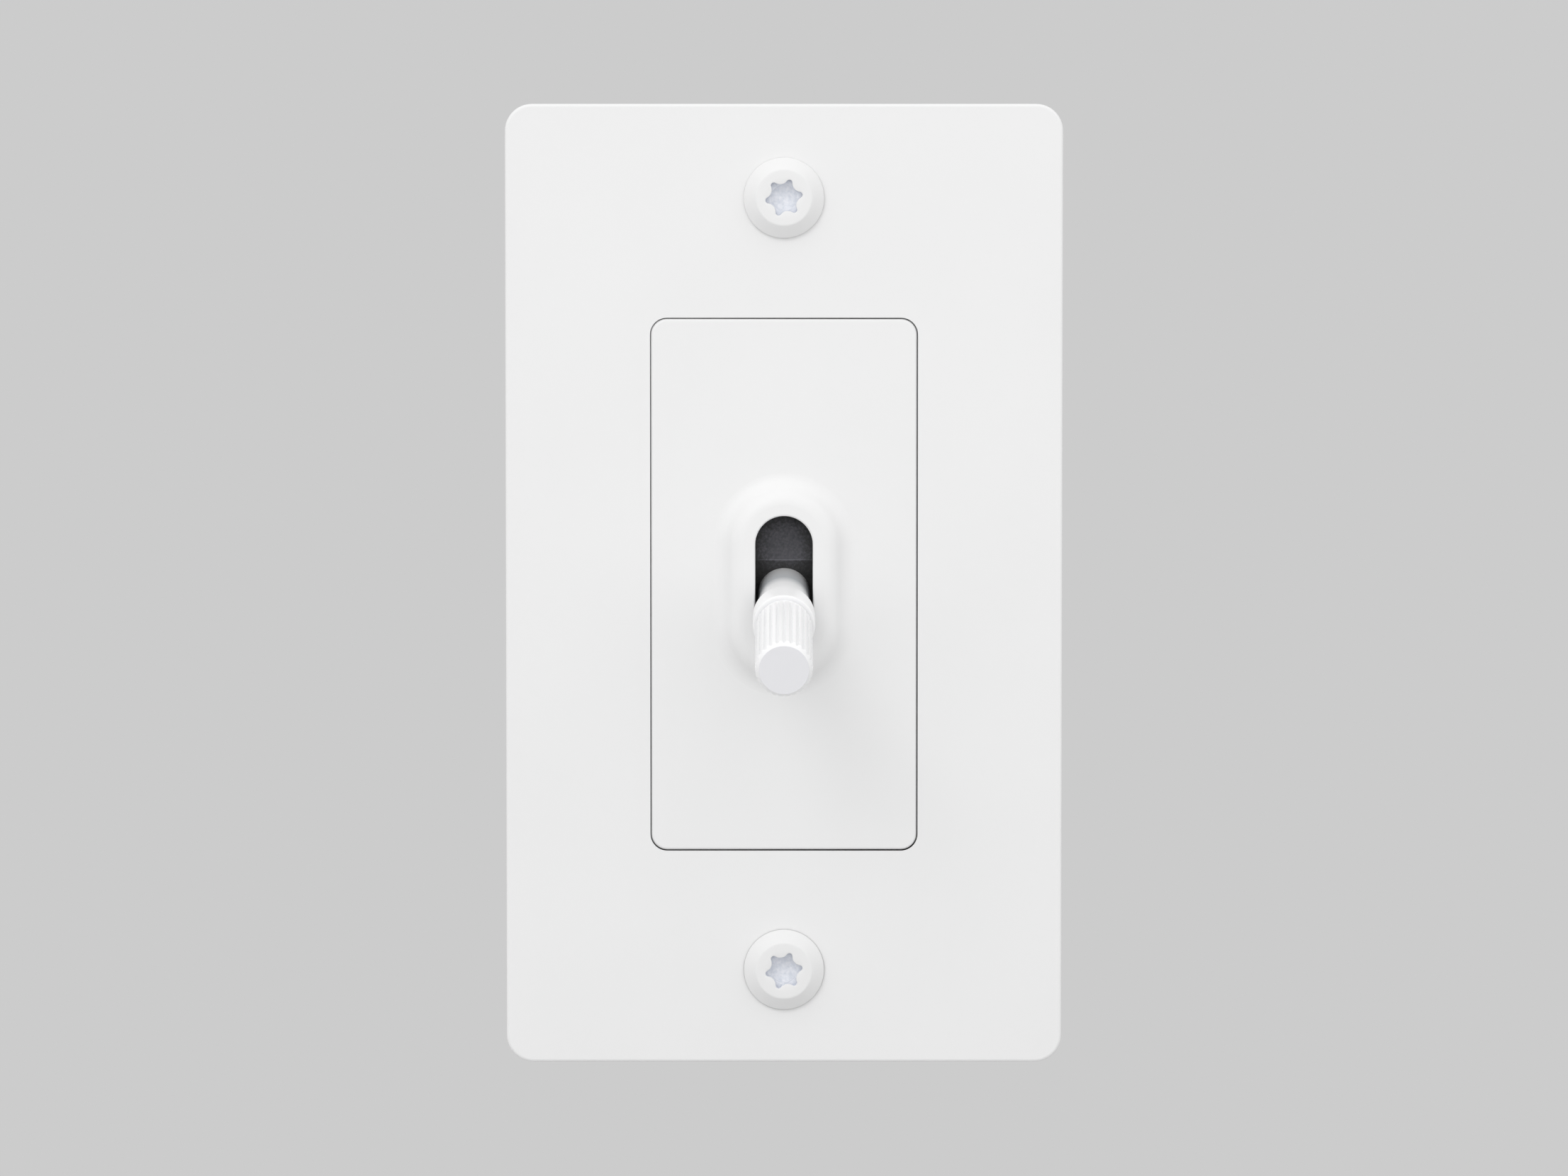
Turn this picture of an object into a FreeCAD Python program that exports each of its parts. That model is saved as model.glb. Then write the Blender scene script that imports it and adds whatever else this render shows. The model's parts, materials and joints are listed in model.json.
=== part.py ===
import FreeCAD, Part
import math
import operator
import os
import types

import Sketcher

# A toggle wall switch: wall plate, face insert, lever, rocker, contacts, terminals and fasteners.
# Frame: +Z up, +Y into the wall, +X to the right as seen from the room. The wall is the plane y = 0
# and the origin is the middle of the plate on that plane. Lengths are in millimetres, angles in degrees.

Vector = FreeCAD.Vector
X_AXIS = Vector(1, 0, 0)
Z_AXIS = Vector(0, 0, 1)

SIZES = {
    # wall plate
    "plate_width": 69.8,
    "plate_height": 120.3,
    "plate_depth": 5.0,
    "plate_corner": 3.4,
    "plate_edge": 0.4,
    "plate_rim": 4.9,
    "plate_face": 1.6,
    "plate_screw_z": 48.42,
    "plate_screw_hole": 4.2,
    "opening_gap": 0.11,
    # face insert, its mound and slot
    "insert_width": 33.34,
    "insert_height": 66.68,
    "insert_corner": 2.0,
    "insert_edge": 0.35,
    "slot_width": 7.2,
    "slot_height": 17.4,
    "slot_edge": 0.25,
    "mound_height": 2.2,
    "mound_crown": 5.0,
    "mound_base": 8.9,
    "well_width": 13.0,
    "well_height": 25.0,
    "well_floor": 3.0,
    "insert_screw_cover": 0.8,
    # mounting strap
    "strap_thickness": 1.6,
    "strap_width": 36.0,
    "strap_height": 106.0,
    "strap_corner": 3.0,
    "box_screw_z": 41.67,
    "box_slot_length": 6.2,
    "box_slot_width": 4.2,
    "gauge_hole_x": 11.5,
    "gauge_hole": 3.2,
    "strap_well_room": 0.5,
    "insert_screw_z": 28.0,
    "insert_screw_room": 0.15,
    "housing_screw_x": 9.0,
    "housing_screw_z": 20.0,
    "tab_side": 13.4,
    "tab_length": 10.0,
    "tab_width": 9.0,
    "tab_z": 29.5,
    "tab_screw_y": 6.0,
    # housing and rear cover
    "housing_width": 28.0,
    "housing_height": 45.6,
    "housing_depth": 24.0,
    "housing_corner": 1.5,
    "housing_front": 2.5,
    "throat_width": 13.2,
    "throat_height": 24.0,
    "cavity_left": 12.0,
    "cavity_right": 7.5,
    "cavity_height": 36.0,
    "cheek_height": 11.0,
    "cheek_end": 9.3,
    "ledge_start": 7.0,
    "ledge_thickness": 2.7,
    "bay_floor": 9.2,
    "bay_front": 6.0,
    "bay_low": 7.5,
    "bay_high": 17.5,
    "window_room": 0.2,
    "tip_room": 0.25,
    "pin_seat": 2.0,
    "pilot_reach": 8.6,
    "panel_margin": 3.0,
    "panel_depth": 0.6,
    "panel_end": 4.0,
    "cover_thickness": 2.0,
    "cover_edge": 0.4,
    "cover_lip": 0.5,
    "lip_room": 0.3,
    "wire_hole": 2.8,
    "wire_funnel": 0.4,
    "wire_offset": 3.3,
    "wire_x": 11.3,
    # lever and rocker, measured from the pivot along the lever
    "pivot_depth": 4.6,
    "rest_tilt": 12.5,
    "rocker_width": 12.0,
    "rocker_top": 5.66,
    "crease_height": 4.3,
    "crease_radius": 0.12,
    "wing_front": 3.65,
    "wing_height": 10.5,
    "wing_back": 0.6,
    "wing_back_height": 9.9,
    "hub_shoulder": 1.6,
    "hub_side": 4.4,
    "hub_back": 4.0,
    "stem_radius": 3.25,
    "stem_end": 10.0,
    "tenon_radius": 2.0,
    "tenon_end": 2.3,
    "shank_radius": 3.25,
    "collar_radius": 3.86,
    "collar_start": 16.4,
    "collar_end": 20.82,
    "collar_edge": 0.15,
    "neck_radius": 3.3,
    "grip_radius": 3.5,
    "grip_start": 21.93,
    "grip_end": 39.91,
    "tip_radius": 3.0,
    "tip_end": 40.6,
    "stud_radius": 1.5,
    "stud_end": 31.0,
    "stud_room": 1.0,
    "flute_radius": 0.22,
    "flute_offset": 0.0275,
    "flute_count": 26,
    "pin_radius": 1.25,
    "pin_bevel": 0.2,
    "pin_end_room": 0.1,
    "pin_sunk": 0.3,
    # plunger and its spring
    "plunger_radius": 1.7,
    "plunger_back": 7.0,
    "plunger_tip": 14.3,
    "plunger_nose": 0.9,
    "plunger_nose_length": 1.2,
    "spring_seat": 3.0,
    "spring_radius": 1.2,
    "spring_wire": 0.35,
    "spring_turns": 5,
    # contact arm and contacts
    "arm_pivot": 20.4,
    "arm_tilt": 6.0,
    "arm_front": 1.4,
    "arm_thickness": 0.8,
    "arm_width": 7.0,
    "arm_tip_width": 4.4,
    "arm_half": 11.0,
    "arm_pin_radius": 0.8,
    "arm_pin_bevel": 0.1,
    "ear_room": 0.2,
    "contact_z": 9.5,
    "contact_radius": 1.5,
    "contact_rim": 0.3,
    "contact_height": 0.8,
    "dome_radius": 2.5,
    "rivet_radius": 0.7,
    "rivet_head_radius": 1.1,
    "rivet_head": 0.2,
    "fixed_front": 21.65,
    "fixed_z": 9.69,
    "fixed_radius": 1.6,
    "fixed_bevel": 0.15,
    # terminals
    "terminal_front": 22.4,
    "terminal_thickness": 1.0,
    "terminal_low": 8.0,
    "terminal_high": 17.0,
    "terminal_end": 8.0,
    "terminal_z": 13.0,
    "terminal_y": 14.0,
    "terminal_gap": 2.2,
    "clamp_thickness": 1.2,
    "clamp_length": 8.4,
    "clamp_width": 7.0,
    "clamp_corner": 0.8,
    "groove_radius": 1.0,
    "groove_depth": 0.4,
    # fasteners
    "coin_radius": 5.02,
    "coin_flat": 3.5,
    "coin_height": 1.9,
    "coin_rim": 0.5,
    "socket_tip": 2.34,
    "socket_lobe": 0.38,
    "socket_waist": 1.7,
    "socket_core": 1.62,
    "socket_depth": 1.0,
    "socket_core_depth": 1.4,
    "socket_turn": 20.0,
    "socket_point": 0.3,
    "coin_edge": 0.12,
    "machine_radius": 1.75,
    "machine_lead": 0.4,
    "machine_head": 3.4,
    "box_head_height": 1.7,
    "box_head_rim": 0.6,
    "box_head_slope": 0.9,
    "box_slot_cut": 1.0,
    "box_slot_depth": 0.9,
    "box_screw_lead": 0.6,
    "box_neck_radius": 1.7,
    "box_neck_end": 0.45,
    "retainer_side": 8.0,
    "retainer_thickness": 0.5,
    "terminal_head": 3.6,
    "terminal_head_height": 2.5,
    "terminal_slot_cut": 1.1,
    "terminal_slot_depth": 1.2,
    "terminal_screw_tip": 1.2,
    "head_bevel": 0.5,
    "small_radius": 1.25,
    "small_room": 0.15,
    "small_head": 2.4,
    "small_head_height": 1.5,
    "small_lead": 0.3,
    "small_slot_cut": 0.7,
    "insert_screw_end": 1.0,
    "corner_screw_length": 9.6,
    "corner_screw_point": 1.0,
    "cross_length": 2.6,
    "cross_width": 0.6,
    "cross_depth": 0.8,
    "bumper_radius": 2.0,
    "bumper_front": 7.45,
    "bumper_z": 8.4,
    "bumper_edge": 0.4,
    "bumper_plug": 2.0,
    "bumper_plug_room": 0.1,
    # room left between pieces
    "running_fit": 0.03,
    "seat_fit": 0.02,
    "thread_fit": 0.05,
}

ORIGIN = -1
START, END, CENTRE = 1, 2, 3
NEAR = 1e-3
SIGNS = {"+": operator.add, "-": operator.sub, "*": operator.mul, "/": operator.truediv}


class Dim:
    """A size: its value now and the spreadsheet formula that drives it."""

    def __init__(self, value, formula):
        self.value = value
        self.formula = formula

    def __add__(self, other):
        return join(self, "+", other)

    def __radd__(self, other):
        return join(other, "+", self)

    def __sub__(self, other):
        return join(self, "-", other)

    def __rsub__(self, other):
        return join(other, "-", self)

    def __mul__(self, other):
        return join(self, "*", other)

    def __rmul__(self, other):
        return join(other, "*", self)

    def __truediv__(self, other):
        return join(self, "/", other)

    def __neg__(self):
        return join(0, "-", self)


def as_dim(number):
    return number if isinstance(number, Dim) else Dim(float(number), f"({number})")


def join(left, sign, right):
    left = as_dim(left)
    right = as_dim(right)
    return Dim(SIGNS[sign](left.value, right.value), f"({left.formula} {sign} {right.formula})")


def sine(angle):
    return Dim(math.sin(math.radians(angle.value)), f"sin({angle.formula})")


def cosine(angle):
    return Dim(math.cos(math.radians(angle.value)), f"cos({angle.formula})")


def make_sheet(doc):
    """Writes the driving dimensions into a spreadsheet and returns them as named sizes."""
    sheet = doc.addObject("Spreadsheet::Sheet", "Sizes")
    for row, (name, value) in enumerate(SIZES.items(), start=1):
        sheet.set(f"A{row}", name)
        sheet.set(f"B{row}", str(value))
        sheet.setAlias(f"B{row}", name)
    doc.recompute()
    sizes = {name: Dim(float(value), f"Sizes.{name}") for name, value in SIZES.items()}
    return types.SimpleNamespace(**sizes)


def drive(thing, path, value):
    thing.setExpression(path, as_dim(value).formula)


def place(thing, at=(0, 0, 0), turn=None):
    """Puts a thing at a point, turned about an axis by an angle."""
    if turn:
        axis, angle = turn
        thing.Placement.Rotation = FreeCAD.Rotation(axis, as_dim(angle).value)
        drive(thing, ".Placement.Rotation.Angle", angle)
    for letter, value in zip("xyz", at):
        drive(thing, f".Placement.Base.{letter}", value)


def new_body(doc, label, at=(0, 0, 0), turn=None):
    body = doc.addObject("PartDesign::Body", label)
    body.Label = label
    place(body, at, turn)
    return body


def lever_frame(size):
    """The lever's own frame: -Y runs out along the lever from the pivot, tilted down at rest."""
    return {"at": (0, size.pivot_depth, 0), "turn": (X_AXIS, size.rest_tilt)}


def arm_frame(size):
    """The contact arm's own frame at its pivot, with its lower end tilted forward at rest."""
    return {"at": (0, size.arm_pivot, 0), "turn": (-X_AXIS, size.arm_tilt)}


def origin_feature(body, role):
    return next(feature for feature in body.Origin.OriginFeatures if feature.Role == role)


def new_sketch(body, name, plane="XZ_Plane", offset=0):
    """A sketch on an origin plane, moved along that plane's normal: -Y, +X or +Z."""
    sketch = body.newObject("Sketcher::SketchObject", f"{body.Name}_{name}")
    sketch.AttachmentSupport = [(origin_feature(body, plane), "")]
    sketch.MapMode = "FlatFace"
    drive(sketch, ".AttachmentOffset.Base.z", offset)
    return sketch


def point(corner):
    return Vector(as_dim(corner[0]).value, as_dim(corner[1]).value, 0)


def fix(sketch, constraint, value):
    index = sketch.addConstraint(constraint)
    drive(sketch, f"Constraints[{index}]", value)


def fix_along(sketch, kind, geometry, end, value):
    fix(sketch, Sketcher.Constraint(kind, ORIGIN, START, geometry, end, as_dim(value).value), value)


def fix_point(sketch, geometry, end, x, y):
    fix_along(sketch, "DistanceX", geometry, end, x)
    fix_along(sketch, "DistanceY", geometry, end, y)


def draw_arc(sketch, start, end, centre):
    """An arc of less than half a turn between two points, about a centre (x, y)."""
    middle = point(centre)
    circle = Part.Circle(middle, Z_AXIS, (start - middle).Length)
    first = math.atan2(start.y - middle.y, start.x - middle.x)
    last = math.atan2(end.y - middle.y, end.x - middle.x)
    runs_left = (last - first) % (2 * math.pi) < math.pi
    if not runs_left:
        first, last = last, first
    geometry = sketch.addGeometry(Part.ArcOfCircle(circle, first, last))
    if abs(end.y - start.y) > abs(end.x - start.x):
        fix_along(sketch, "DistanceX", geometry, CENTRE, centre[0])
    else:
        fix_along(sketch, "DistanceY", geometry, CENTRE, centre[1])
    return (geometry, START, END) if runs_left else (geometry, END, START)


def draw_outline(sketch, corners):
    """A closed outline of corners (x, y), or (x, y, centre) where an arc arrives at the corner."""
    sides = []
    for index, corner in enumerate(corners):
        start = point(corners[index - 1])
        if len(corner) == 3:
            sides.append(draw_arc(sketch, start, point(corner), corner[2]))
        else:
            line = sketch.addGeometry(Part.LineSegment(start, point(corner)))
            sides.append((line, START, END))
    for index, corner in enumerate(corners):
        geometry, _, last = sides[index]
        following, first, _ = sides[(index + 1) % len(sides)]
        sketch.addConstraint(Sketcher.Constraint("Coincident", geometry, last, following, first))
        fix_point(sketch, geometry, last, corner[0], corner[1])


def draw_box(sketch, left, low, right, high):
    draw_outline(sketch, [(left, low), (right, low), (right, high), (left, high)])


def draw_centred_box(sketch, width, height):
    draw_box(sketch, -width / 2, -height / 2, width / 2, height / 2)


def draw_circle(sketch, x, y, radius):
    centre = point((x, y))
    geometry = sketch.addGeometry(Part.Circle(centre, Z_AXIS, as_dim(radius).value))
    fix_point(sketch, geometry, CENTRE, x, y)
    fix(sketch, Sketcher.Constraint("Radius", geometry, as_dim(radius).value), radius)


def draw_stadium(sketch, x, y, half_straight, radius, upright):
    """A round-ended slot, upright or lying along x."""
    quarter = math.pi / 2
    lean = quarter if upright else 0
    arcs = []
    for side in (1, -1):
        centre_x = x if upright else x + side * half_straight
        centre_y = y + side * half_straight if upright else y
        circle = Part.Circle(point((centre_x, centre_y)), Z_AXIS, as_dim(radius).value)
        middle = lean if side == 1 else lean + math.pi
        arc = sketch.addGeometry(Part.ArcOfCircle(circle, middle - quarter, middle + quarter))
        fix_point(sketch, arc, CENTRE, centre_x, centre_y)
        fix(sketch, Sketcher.Constraint("Radius", arc, as_dim(radius).value), radius)
        arcs.append(arc)
    for first, second in (arcs, arcs[::-1]):
        start = sketch.Geometry[first].EndPoint
        end = sketch.Geometry[second].StartPoint
        line = sketch.addGeometry(Part.LineSegment(start, end))
        sketch.addConstraint(Sketcher.Constraint("Tangent", first, END, line, START))
        sketch.addConstraint(Sketcher.Constraint("Tangent", line, END, second, START))


def add_feature(body, kind, sketch):
    feature = body.newObject(f"PartDesign::{kind}", f"{sketch.Name}_{kind.lower()}")
    feature.Profile = sketch
    sketch.Visibility = False
    body.Tip = feature
    return feature


def pad(body, sketch, length, backward=False):
    """Adds material along the sketch's normal, or against it."""
    feature = add_feature(body, "Pad", sketch)
    drive(feature, "Length", length)
    feature.Reversed = backward
    return feature


def cut(body, sketch, depth, along_normal=False):
    """Removes material against the sketch's normal, or along it, and proves that it did."""
    body.Document.recompute()
    before = body.Tip.Shape.Volume
    feature = add_feature(body, "Pocket", sketch)
    drive(feature, "Length", depth)
    feature.Reversed = along_normal
    body.Document.recompute()
    if not feature.Shape.Volume < before:
        raise RuntimeError(f"{feature.Name} removes nothing")
    return feature


def spin(body, name, corners, offset=0):
    """Turns an outline of (radius, y) corners about the y direction at x = 0 and z = offset."""
    sketch = new_sketch(body, name, "XY_Plane", offset)
    draw_outline(sketch, corners)
    feature = add_feature(body, "Revolution", sketch)
    feature.ReferenceAxis = (sketch, ["V_Axis"])
    feature.Angle = 360
    return feature


def repeat_round(body, feature, count):
    """Repeats a feature evenly round the body's own y axis."""
    pattern = body.newObject("PartDesign::PolarPattern", f"{feature.Name}_round")
    pattern.Originals = [feature]
    pattern.Axis = (origin_feature(body, "Y_Axis"), [""])
    pattern.Angle = 360
    drive(pattern, "Occurrences", count)
    body.Tip = pattern
    return pattern


def edge_names(shape, wanted):
    return [f"Edge{number}" for number, edge in enumerate(shape.Edges, start=1) if wanted(edge)]


def soften(body, name, kind, amount, wanted):
    """Rounds (Fillet) or bevels (Chamfer) the edges that a test picks."""
    body.Document.recompute()
    base = body.Tip
    names = edge_names(base.Shape, wanted)
    if not names:
        raise RuntimeError(f"{body.Label} has no edge for {name}")
    feature = body.newObject(f"PartDesign::{kind}", f"{body.Name}_{name}")
    feature.Base = (base, names)
    drive(feature, "Radius" if kind == "Fillet" else "Size", amount)
    body.Tip = feature
    return feature


def runs_along(edge, direction):
    """True for a straight edge along a direction."""
    if not isinstance(edge.Curve, (Part.Line, Part.LineSegment)):
        return False
    return abs(edge.tangentAt(edge.FirstParameter).dot(direction)) > 0.999


def lies_at_y(edge, y):
    return all(abs(vertex.Point.y - y) < NEAR for vertex in edge.Vertexes)


def is_ring(edge):
    return isinstance(edge.Curve, Part.Circle) and edge.isClosed()


def round_corners(body, name, width, height, radius):
    """Rounds the four edges that stand along y at the corners of a centred box."""
    half_width = as_dim(width).value / 2
    half_height = as_dim(height).value / 2

    def at_corner(edge):
        middle = edge.CenterOfMass
        across = abs(abs(middle.x) - half_width)
        up = abs(abs(middle.z) - half_height)
        return max(across, up) < NEAR and runs_along(edge, Vector(0, 1, 0))

    return soften(body, name, "Fillet", radius, at_corner)


def round_face_edge(body, name, y, radius):
    """Rounds every edge that lies in the plane of a face at y."""
    return soften(body, name, "Fillet", radius, lambda edge: lies_at_y(edge, y.value))


def copies(doc, label, prototype, places):
    """One node of identical solids: linked copies of a body, each at its own place."""
    links = []
    for number, where in enumerate(places, start=1):
        link = doc.addObject("App::Link", f"{label}_{number}")
        link.LinkedObject = prototype
        link.LinkTransform = False
        place(link, **where)
        links.append(link)
    node = doc.addObject("Part::Compound", label)
    node.Label = label
    node.Links = links
    return node


def above_and_below(height):
    return [{"at": (0, 0, height)}, {"at": (0, 0, -height)}]


def wall_plate(doc, size):
    """The plate: a dished sheet with a rim that stands on the wall and an opening for the insert."""
    body = new_body(doc, "wall_plate")
    outline = new_sketch(body, "outline")
    draw_centred_box(outline, size.plate_width, size.plate_height)
    pad(body, outline, size.plate_depth)
    round_corners(body, "corners", size.plate_width, size.plate_height, size.plate_corner)
    round_face_edge(body, "front_edge", -size.plate_depth, size.plate_edge)
    hollow = new_sketch(body, "hollow")
    draw_centred_box(hollow, size.plate_width - 2 * size.plate_rim, size.plate_height - 2 * size.plate_rim)
    cut(body, hollow, size.plate_depth - size.plate_face, along_normal=True)
    opening = new_sketch(body, "opening")
    opening_width = size.insert_width + 2 * size.opening_gap
    opening_height = size.insert_height + 2 * size.opening_gap
    draw_centred_box(opening, opening_width, opening_height)
    cut(body, opening, size.plate_depth, along_normal=True)
    opening_corner = size.insert_corner + size.opening_gap
    round_corners(body, "opening_corners", opening_width, opening_height, opening_corner)
    holes = new_sketch(body, "screw_holes")
    for side in (1, -1):
        draw_circle(holes, 0, side * size.plate_screw_z, size.plate_screw_hole / 2)
    cut(body, holes, size.plate_depth, along_normal=True)
    return body


def mound_flank(size):
    """The mound's flank as (distance, y, arc centre) corners, from its foot up to its flat crown."""
    face = -size.plate_depth
    crown = face - size.mound_height
    run = size.mound_base - size.mound_crown
    radius = (run * run + size.mound_height * size.mound_height) / (4 * size.mound_height)
    foot_centre = (size.mound_base, face - radius)
    crown_centre = (size.mound_crown, crown + radius)
    return [
        (size.mound_base, face),
        ((size.mound_base + size.mound_crown) / 2, (face + crown) / 2, foot_centre),
        (size.mound_crown, crown, crown_centre),
    ]


def flipped(pair):
    return (-pair[0], pair[1])


def face_insert(doc, size):
    """The insert: a flush plate with a raised mound round the lever's slot and a well behind it."""
    body = new_body(doc, "face_insert")
    back = -size.strap_thickness
    outline = new_sketch(body, "outline", offset=-back)
    draw_centred_box(outline, size.insert_width, size.insert_height)
    pad(body, outline, size.plate_depth - size.strap_thickness)
    round_corners(body, "corners", size.insert_width, size.insert_height, size.insert_corner)
    round_face_edge(body, "front_edge", -size.plate_depth, size.insert_edge)
    arc_centre = (size.slot_height - size.slot_width) / 2
    foot, waist, crown = mound_flank(size)
    inside = size.insert_edge - size.plate_depth
    half = [(0, inside), (size.mound_base, inside), foot, waist, crown, (0, crown[1])]
    for name, side in (("mound_top", 1), ("mound_bottom", -1)):
        spin(body, name, half, offset=side * arc_centre)
    middle = new_sketch(body, "mound_middle", "XY_Plane", -arc_centre)
    far_waist = (*flipped(waist[:2]), flipped(crown[2]))
    far_foot = (*flipped(foot), flipped(waist[2]))
    draw_outline(middle, [foot, waist, crown, flipped(crown[:2]), far_waist, far_foot])
    pad(body, middle, 2 * arc_centre)
    slot = new_sketch(body, "slot", offset=-back)
    draw_stadium(slot, 0, 0, arc_centre, size.slot_width / 2, upright=True)
    cut(body, slot, size.plate_depth + size.mound_height, along_normal=True)
    round_slot_edge(body, size)
    well = new_sketch(body, "well", offset=-back)
    draw_centred_box(well, size.well_width, size.well_height)
    cut(body, well, size.well_floor - size.strap_thickness, along_normal=True)
    holes = new_sketch(body, "screw_holes", offset=-back)
    for side in (1, -1):
        draw_circle(holes, 0, side * size.insert_screw_z, size.small_radius + size.seat_fit)
    floor = size.plate_depth - size.insert_screw_cover
    cut(body, holes, floor - size.strap_thickness, along_normal=True)
    return body


def round_slot_edge(body, size):
    """Rounds the slot's edge where it meets the mound's flat crown."""
    crown = -(size.plate_depth + size.mound_height).value
    half_slot = size.slot_width.value / 2 + NEAR

    def on_slot(edge):
        inside = all(abs(vertex.Point.x) < half_slot for vertex in edge.Vertexes)
        return inside and lies_at_y(edge, crown)

    return soften(body, "slot_edge", "Fillet", size.slot_edge, on_slot)


def mounting_strap(doc, size):
    """The steel strap that everything bolts to, with a lanced ground tab bent back."""
    body = new_body(doc, "mounting_strap")
    outline = new_sketch(body, "outline")
    draw_centred_box(outline, size.strap_width, size.strap_height)
    pad(body, outline, size.strap_thickness)
    round_corners(body, "corners", size.strap_width, size.strap_height, size.strap_corner)
    openings = new_sketch(body, "openings")
    draw_centred_box(openings, size.well_width + 2 * size.strap_well_room, size.well_height)
    slot_radius = size.box_slot_width / 2
    half_slot = size.box_slot_length / 2 - slot_radius
    for side in (1, -1):
        draw_circle(openings, 0, side * size.plate_screw_z, size.machine_radius + size.thread_fit)
        draw_circle(openings, 0, side * size.insert_screw_z, size.small_radius + size.insert_screw_room)
        draw_stadium(openings, 0, side * size.box_screw_z, half_slot, slot_radius, upright=False)
        for across in (1, -1):
            draw_circle(openings, across * size.gauge_hole_x, side * size.box_screw_z, size.gauge_hole / 2)
    inner = size.strap_thickness - size.tab_side
    low = -size.tab_z - size.tab_width / 2
    high = -size.tab_z + size.tab_width / 2
    draw_box(openings, inner, low, inner + size.tab_length - size.strap_thickness, high)
    cut(body, openings, size.strap_thickness, along_normal=True)
    tab = new_sketch(body, "tab", offset=size.strap_thickness)
    draw_box(tab, -size.tab_side, low, inner, high)
    pad(body, tab, size.tab_length + size.strap_thickness, backward=True)
    round_upright_edge(body, "bend", -size.tab_side, as_dim(0), size.strap_thickness / 2)
    screw_hole = new_sketch(body, "ground_screw_hole", "YZ_Plane", inner)
    draw_circle(screw_hole, size.tab_screw_y, -size.tab_z, size.machine_radius + size.thread_fit)
    cut(body, screw_hole, size.strap_thickness)
    sunk_holes(body, size, offset=size.strap_thickness, depth=size.strap_thickness)
    return body


def round_upright_edge(body, name, x, y, radius):
    """Rounds the straight edges that stand upright at (x, y)."""
    corner = Vector(x.value, y.value, 0)

    def at_corner(edge):
        return runs_along(edge, Z_AXIS) and (edge.CenterOfMass - corner).cross(Z_AXIS).Length < NEAR

    return soften(body, name, "Fillet", radius, at_corner)


def four_corners(size):
    return [(i * size.housing_screw_x, j * size.housing_screw_z) for i in (1, -1) for j in (1, -1)]


def sunk_holes(body, size, offset, depth, from_back=False):
    """Four countersunk clearance holes for the housing's corner screws."""
    sketch = new_sketch(body, "sunk_holes", offset=offset)
    for x, z in four_corners(size):
        draw_circle(sketch, x, z, size.small_radius)
    body.Document.recompute()
    before = body.Tip.Shape.Volume
    hole = add_feature(body, "Hole", sketch)
    hole.ThreadType = "None"
    hole.DepthType = "Dimension"
    hole.DrillPoint = "Flat"
    drive(hole, "Diameter", 2 * (size.small_radius + size.small_room))
    drive(hole, "Depth", depth)
    hole.HoleCutType = "Countersink"
    hole.HoleCutCustomValues = True
    drive(hole, "HoleCutDiameter", 2 * (size.small_head + size.thread_fit))
    drive(hole, "HoleCutCountersinkAngle", 90)
    hole.Reversed = from_back
    body.Document.recompute()
    if not hole.Shape.Volume < before:
        raise RuntimeError(f"{hole.Name} removes nothing")
    return hole


def switch_housing(doc, size):
    """The moulded casing: throat for the rocker, cavity for the contacts, two open terminal bays."""
    body = new_body(doc, "switch_housing")
    outline = new_sketch(body, "outline")
    draw_centred_box(outline, size.housing_width, size.housing_height)
    pad(body, outline, size.housing_depth, backward=True)
    round_corners(body, "corners", size.housing_width, size.housing_height, size.housing_corner)
    hollow_housing(body, size)
    open_terminal_bays(body, size)
    side = size.housing_width / 2
    pin_hole = new_sketch(body, "pivot_hole", "YZ_Plane", side)
    draw_circle(pin_hole, size.pivot_depth, 0, size.pin_radius + size.seat_fit / 2)
    cut(body, pin_hole, side + size.cavity_left - size.pin_seat)
    front_pilots = new_sketch(body, "front_pilots")
    back_pilots = new_sketch(body, "back_pilots", offset=-size.housing_depth)
    for x, z in four_corners(size):
        draw_circle(front_pilots, x, z, size.small_radius + size.seat_fit)
        draw_circle(back_pilots, x, z, size.small_radius + size.seat_fit)
    cut(body, front_pilots, size.pilot_reach)
    cut(body, back_pilots, size.pilot_reach, along_normal=True)
    sink_panels(body, size)
    sockets = new_sketch(body, "bumper_sockets", offset=-size.cheek_end)
    for sign in (1, -1):
        draw_circle(sockets, 0, sign * size.bumper_z, size.bumper_radius / 2 + size.thread_fit)
    cut(body, sockets, size.bumper_plug + size.bumper_plug_room)
    return body


def hollow_housing(body, size):
    """Throat and cavity, with the cheeks beside the rocker and the ledges behind its wings."""
    throat = new_sketch(body, "throat")
    draw_centred_box(throat, size.throat_width, size.throat_height)
    cut(body, throat, size.housing_front)
    cavity = new_sketch(body, "cavity", offset=-size.housing_depth)
    half_cavity = size.cavity_height / 2
    draw_box(cavity, -size.cavity_left, -half_cavity, size.cavity_right, half_cavity)
    cut(body, cavity, size.housing_depth - size.housing_front, along_normal=True)
    cheeks = new_sketch(body, "cheeks", offset=-size.housing_front)
    half_cheek = size.cheek_height / 2
    draw_box(cheeks, -size.cavity_left, -half_cheek, -size.throat_width / 2, half_cheek)
    draw_box(cheeks, size.throat_width / 2, -half_cheek, size.cavity_right, half_cheek)
    pad(body, cheeks, size.cheek_end - size.housing_front, backward=True)
    ledges = new_sketch(body, "ledges", offset=-size.cheek_end)
    draw_box(ledges, -size.cavity_left, size.ledge_start, size.cavity_right, half_cavity)
    draw_box(ledges, -size.cavity_left, -half_cavity, size.cavity_right, -size.ledge_start)
    pad(body, ledges, size.ledge_thickness, backward=True)


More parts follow.
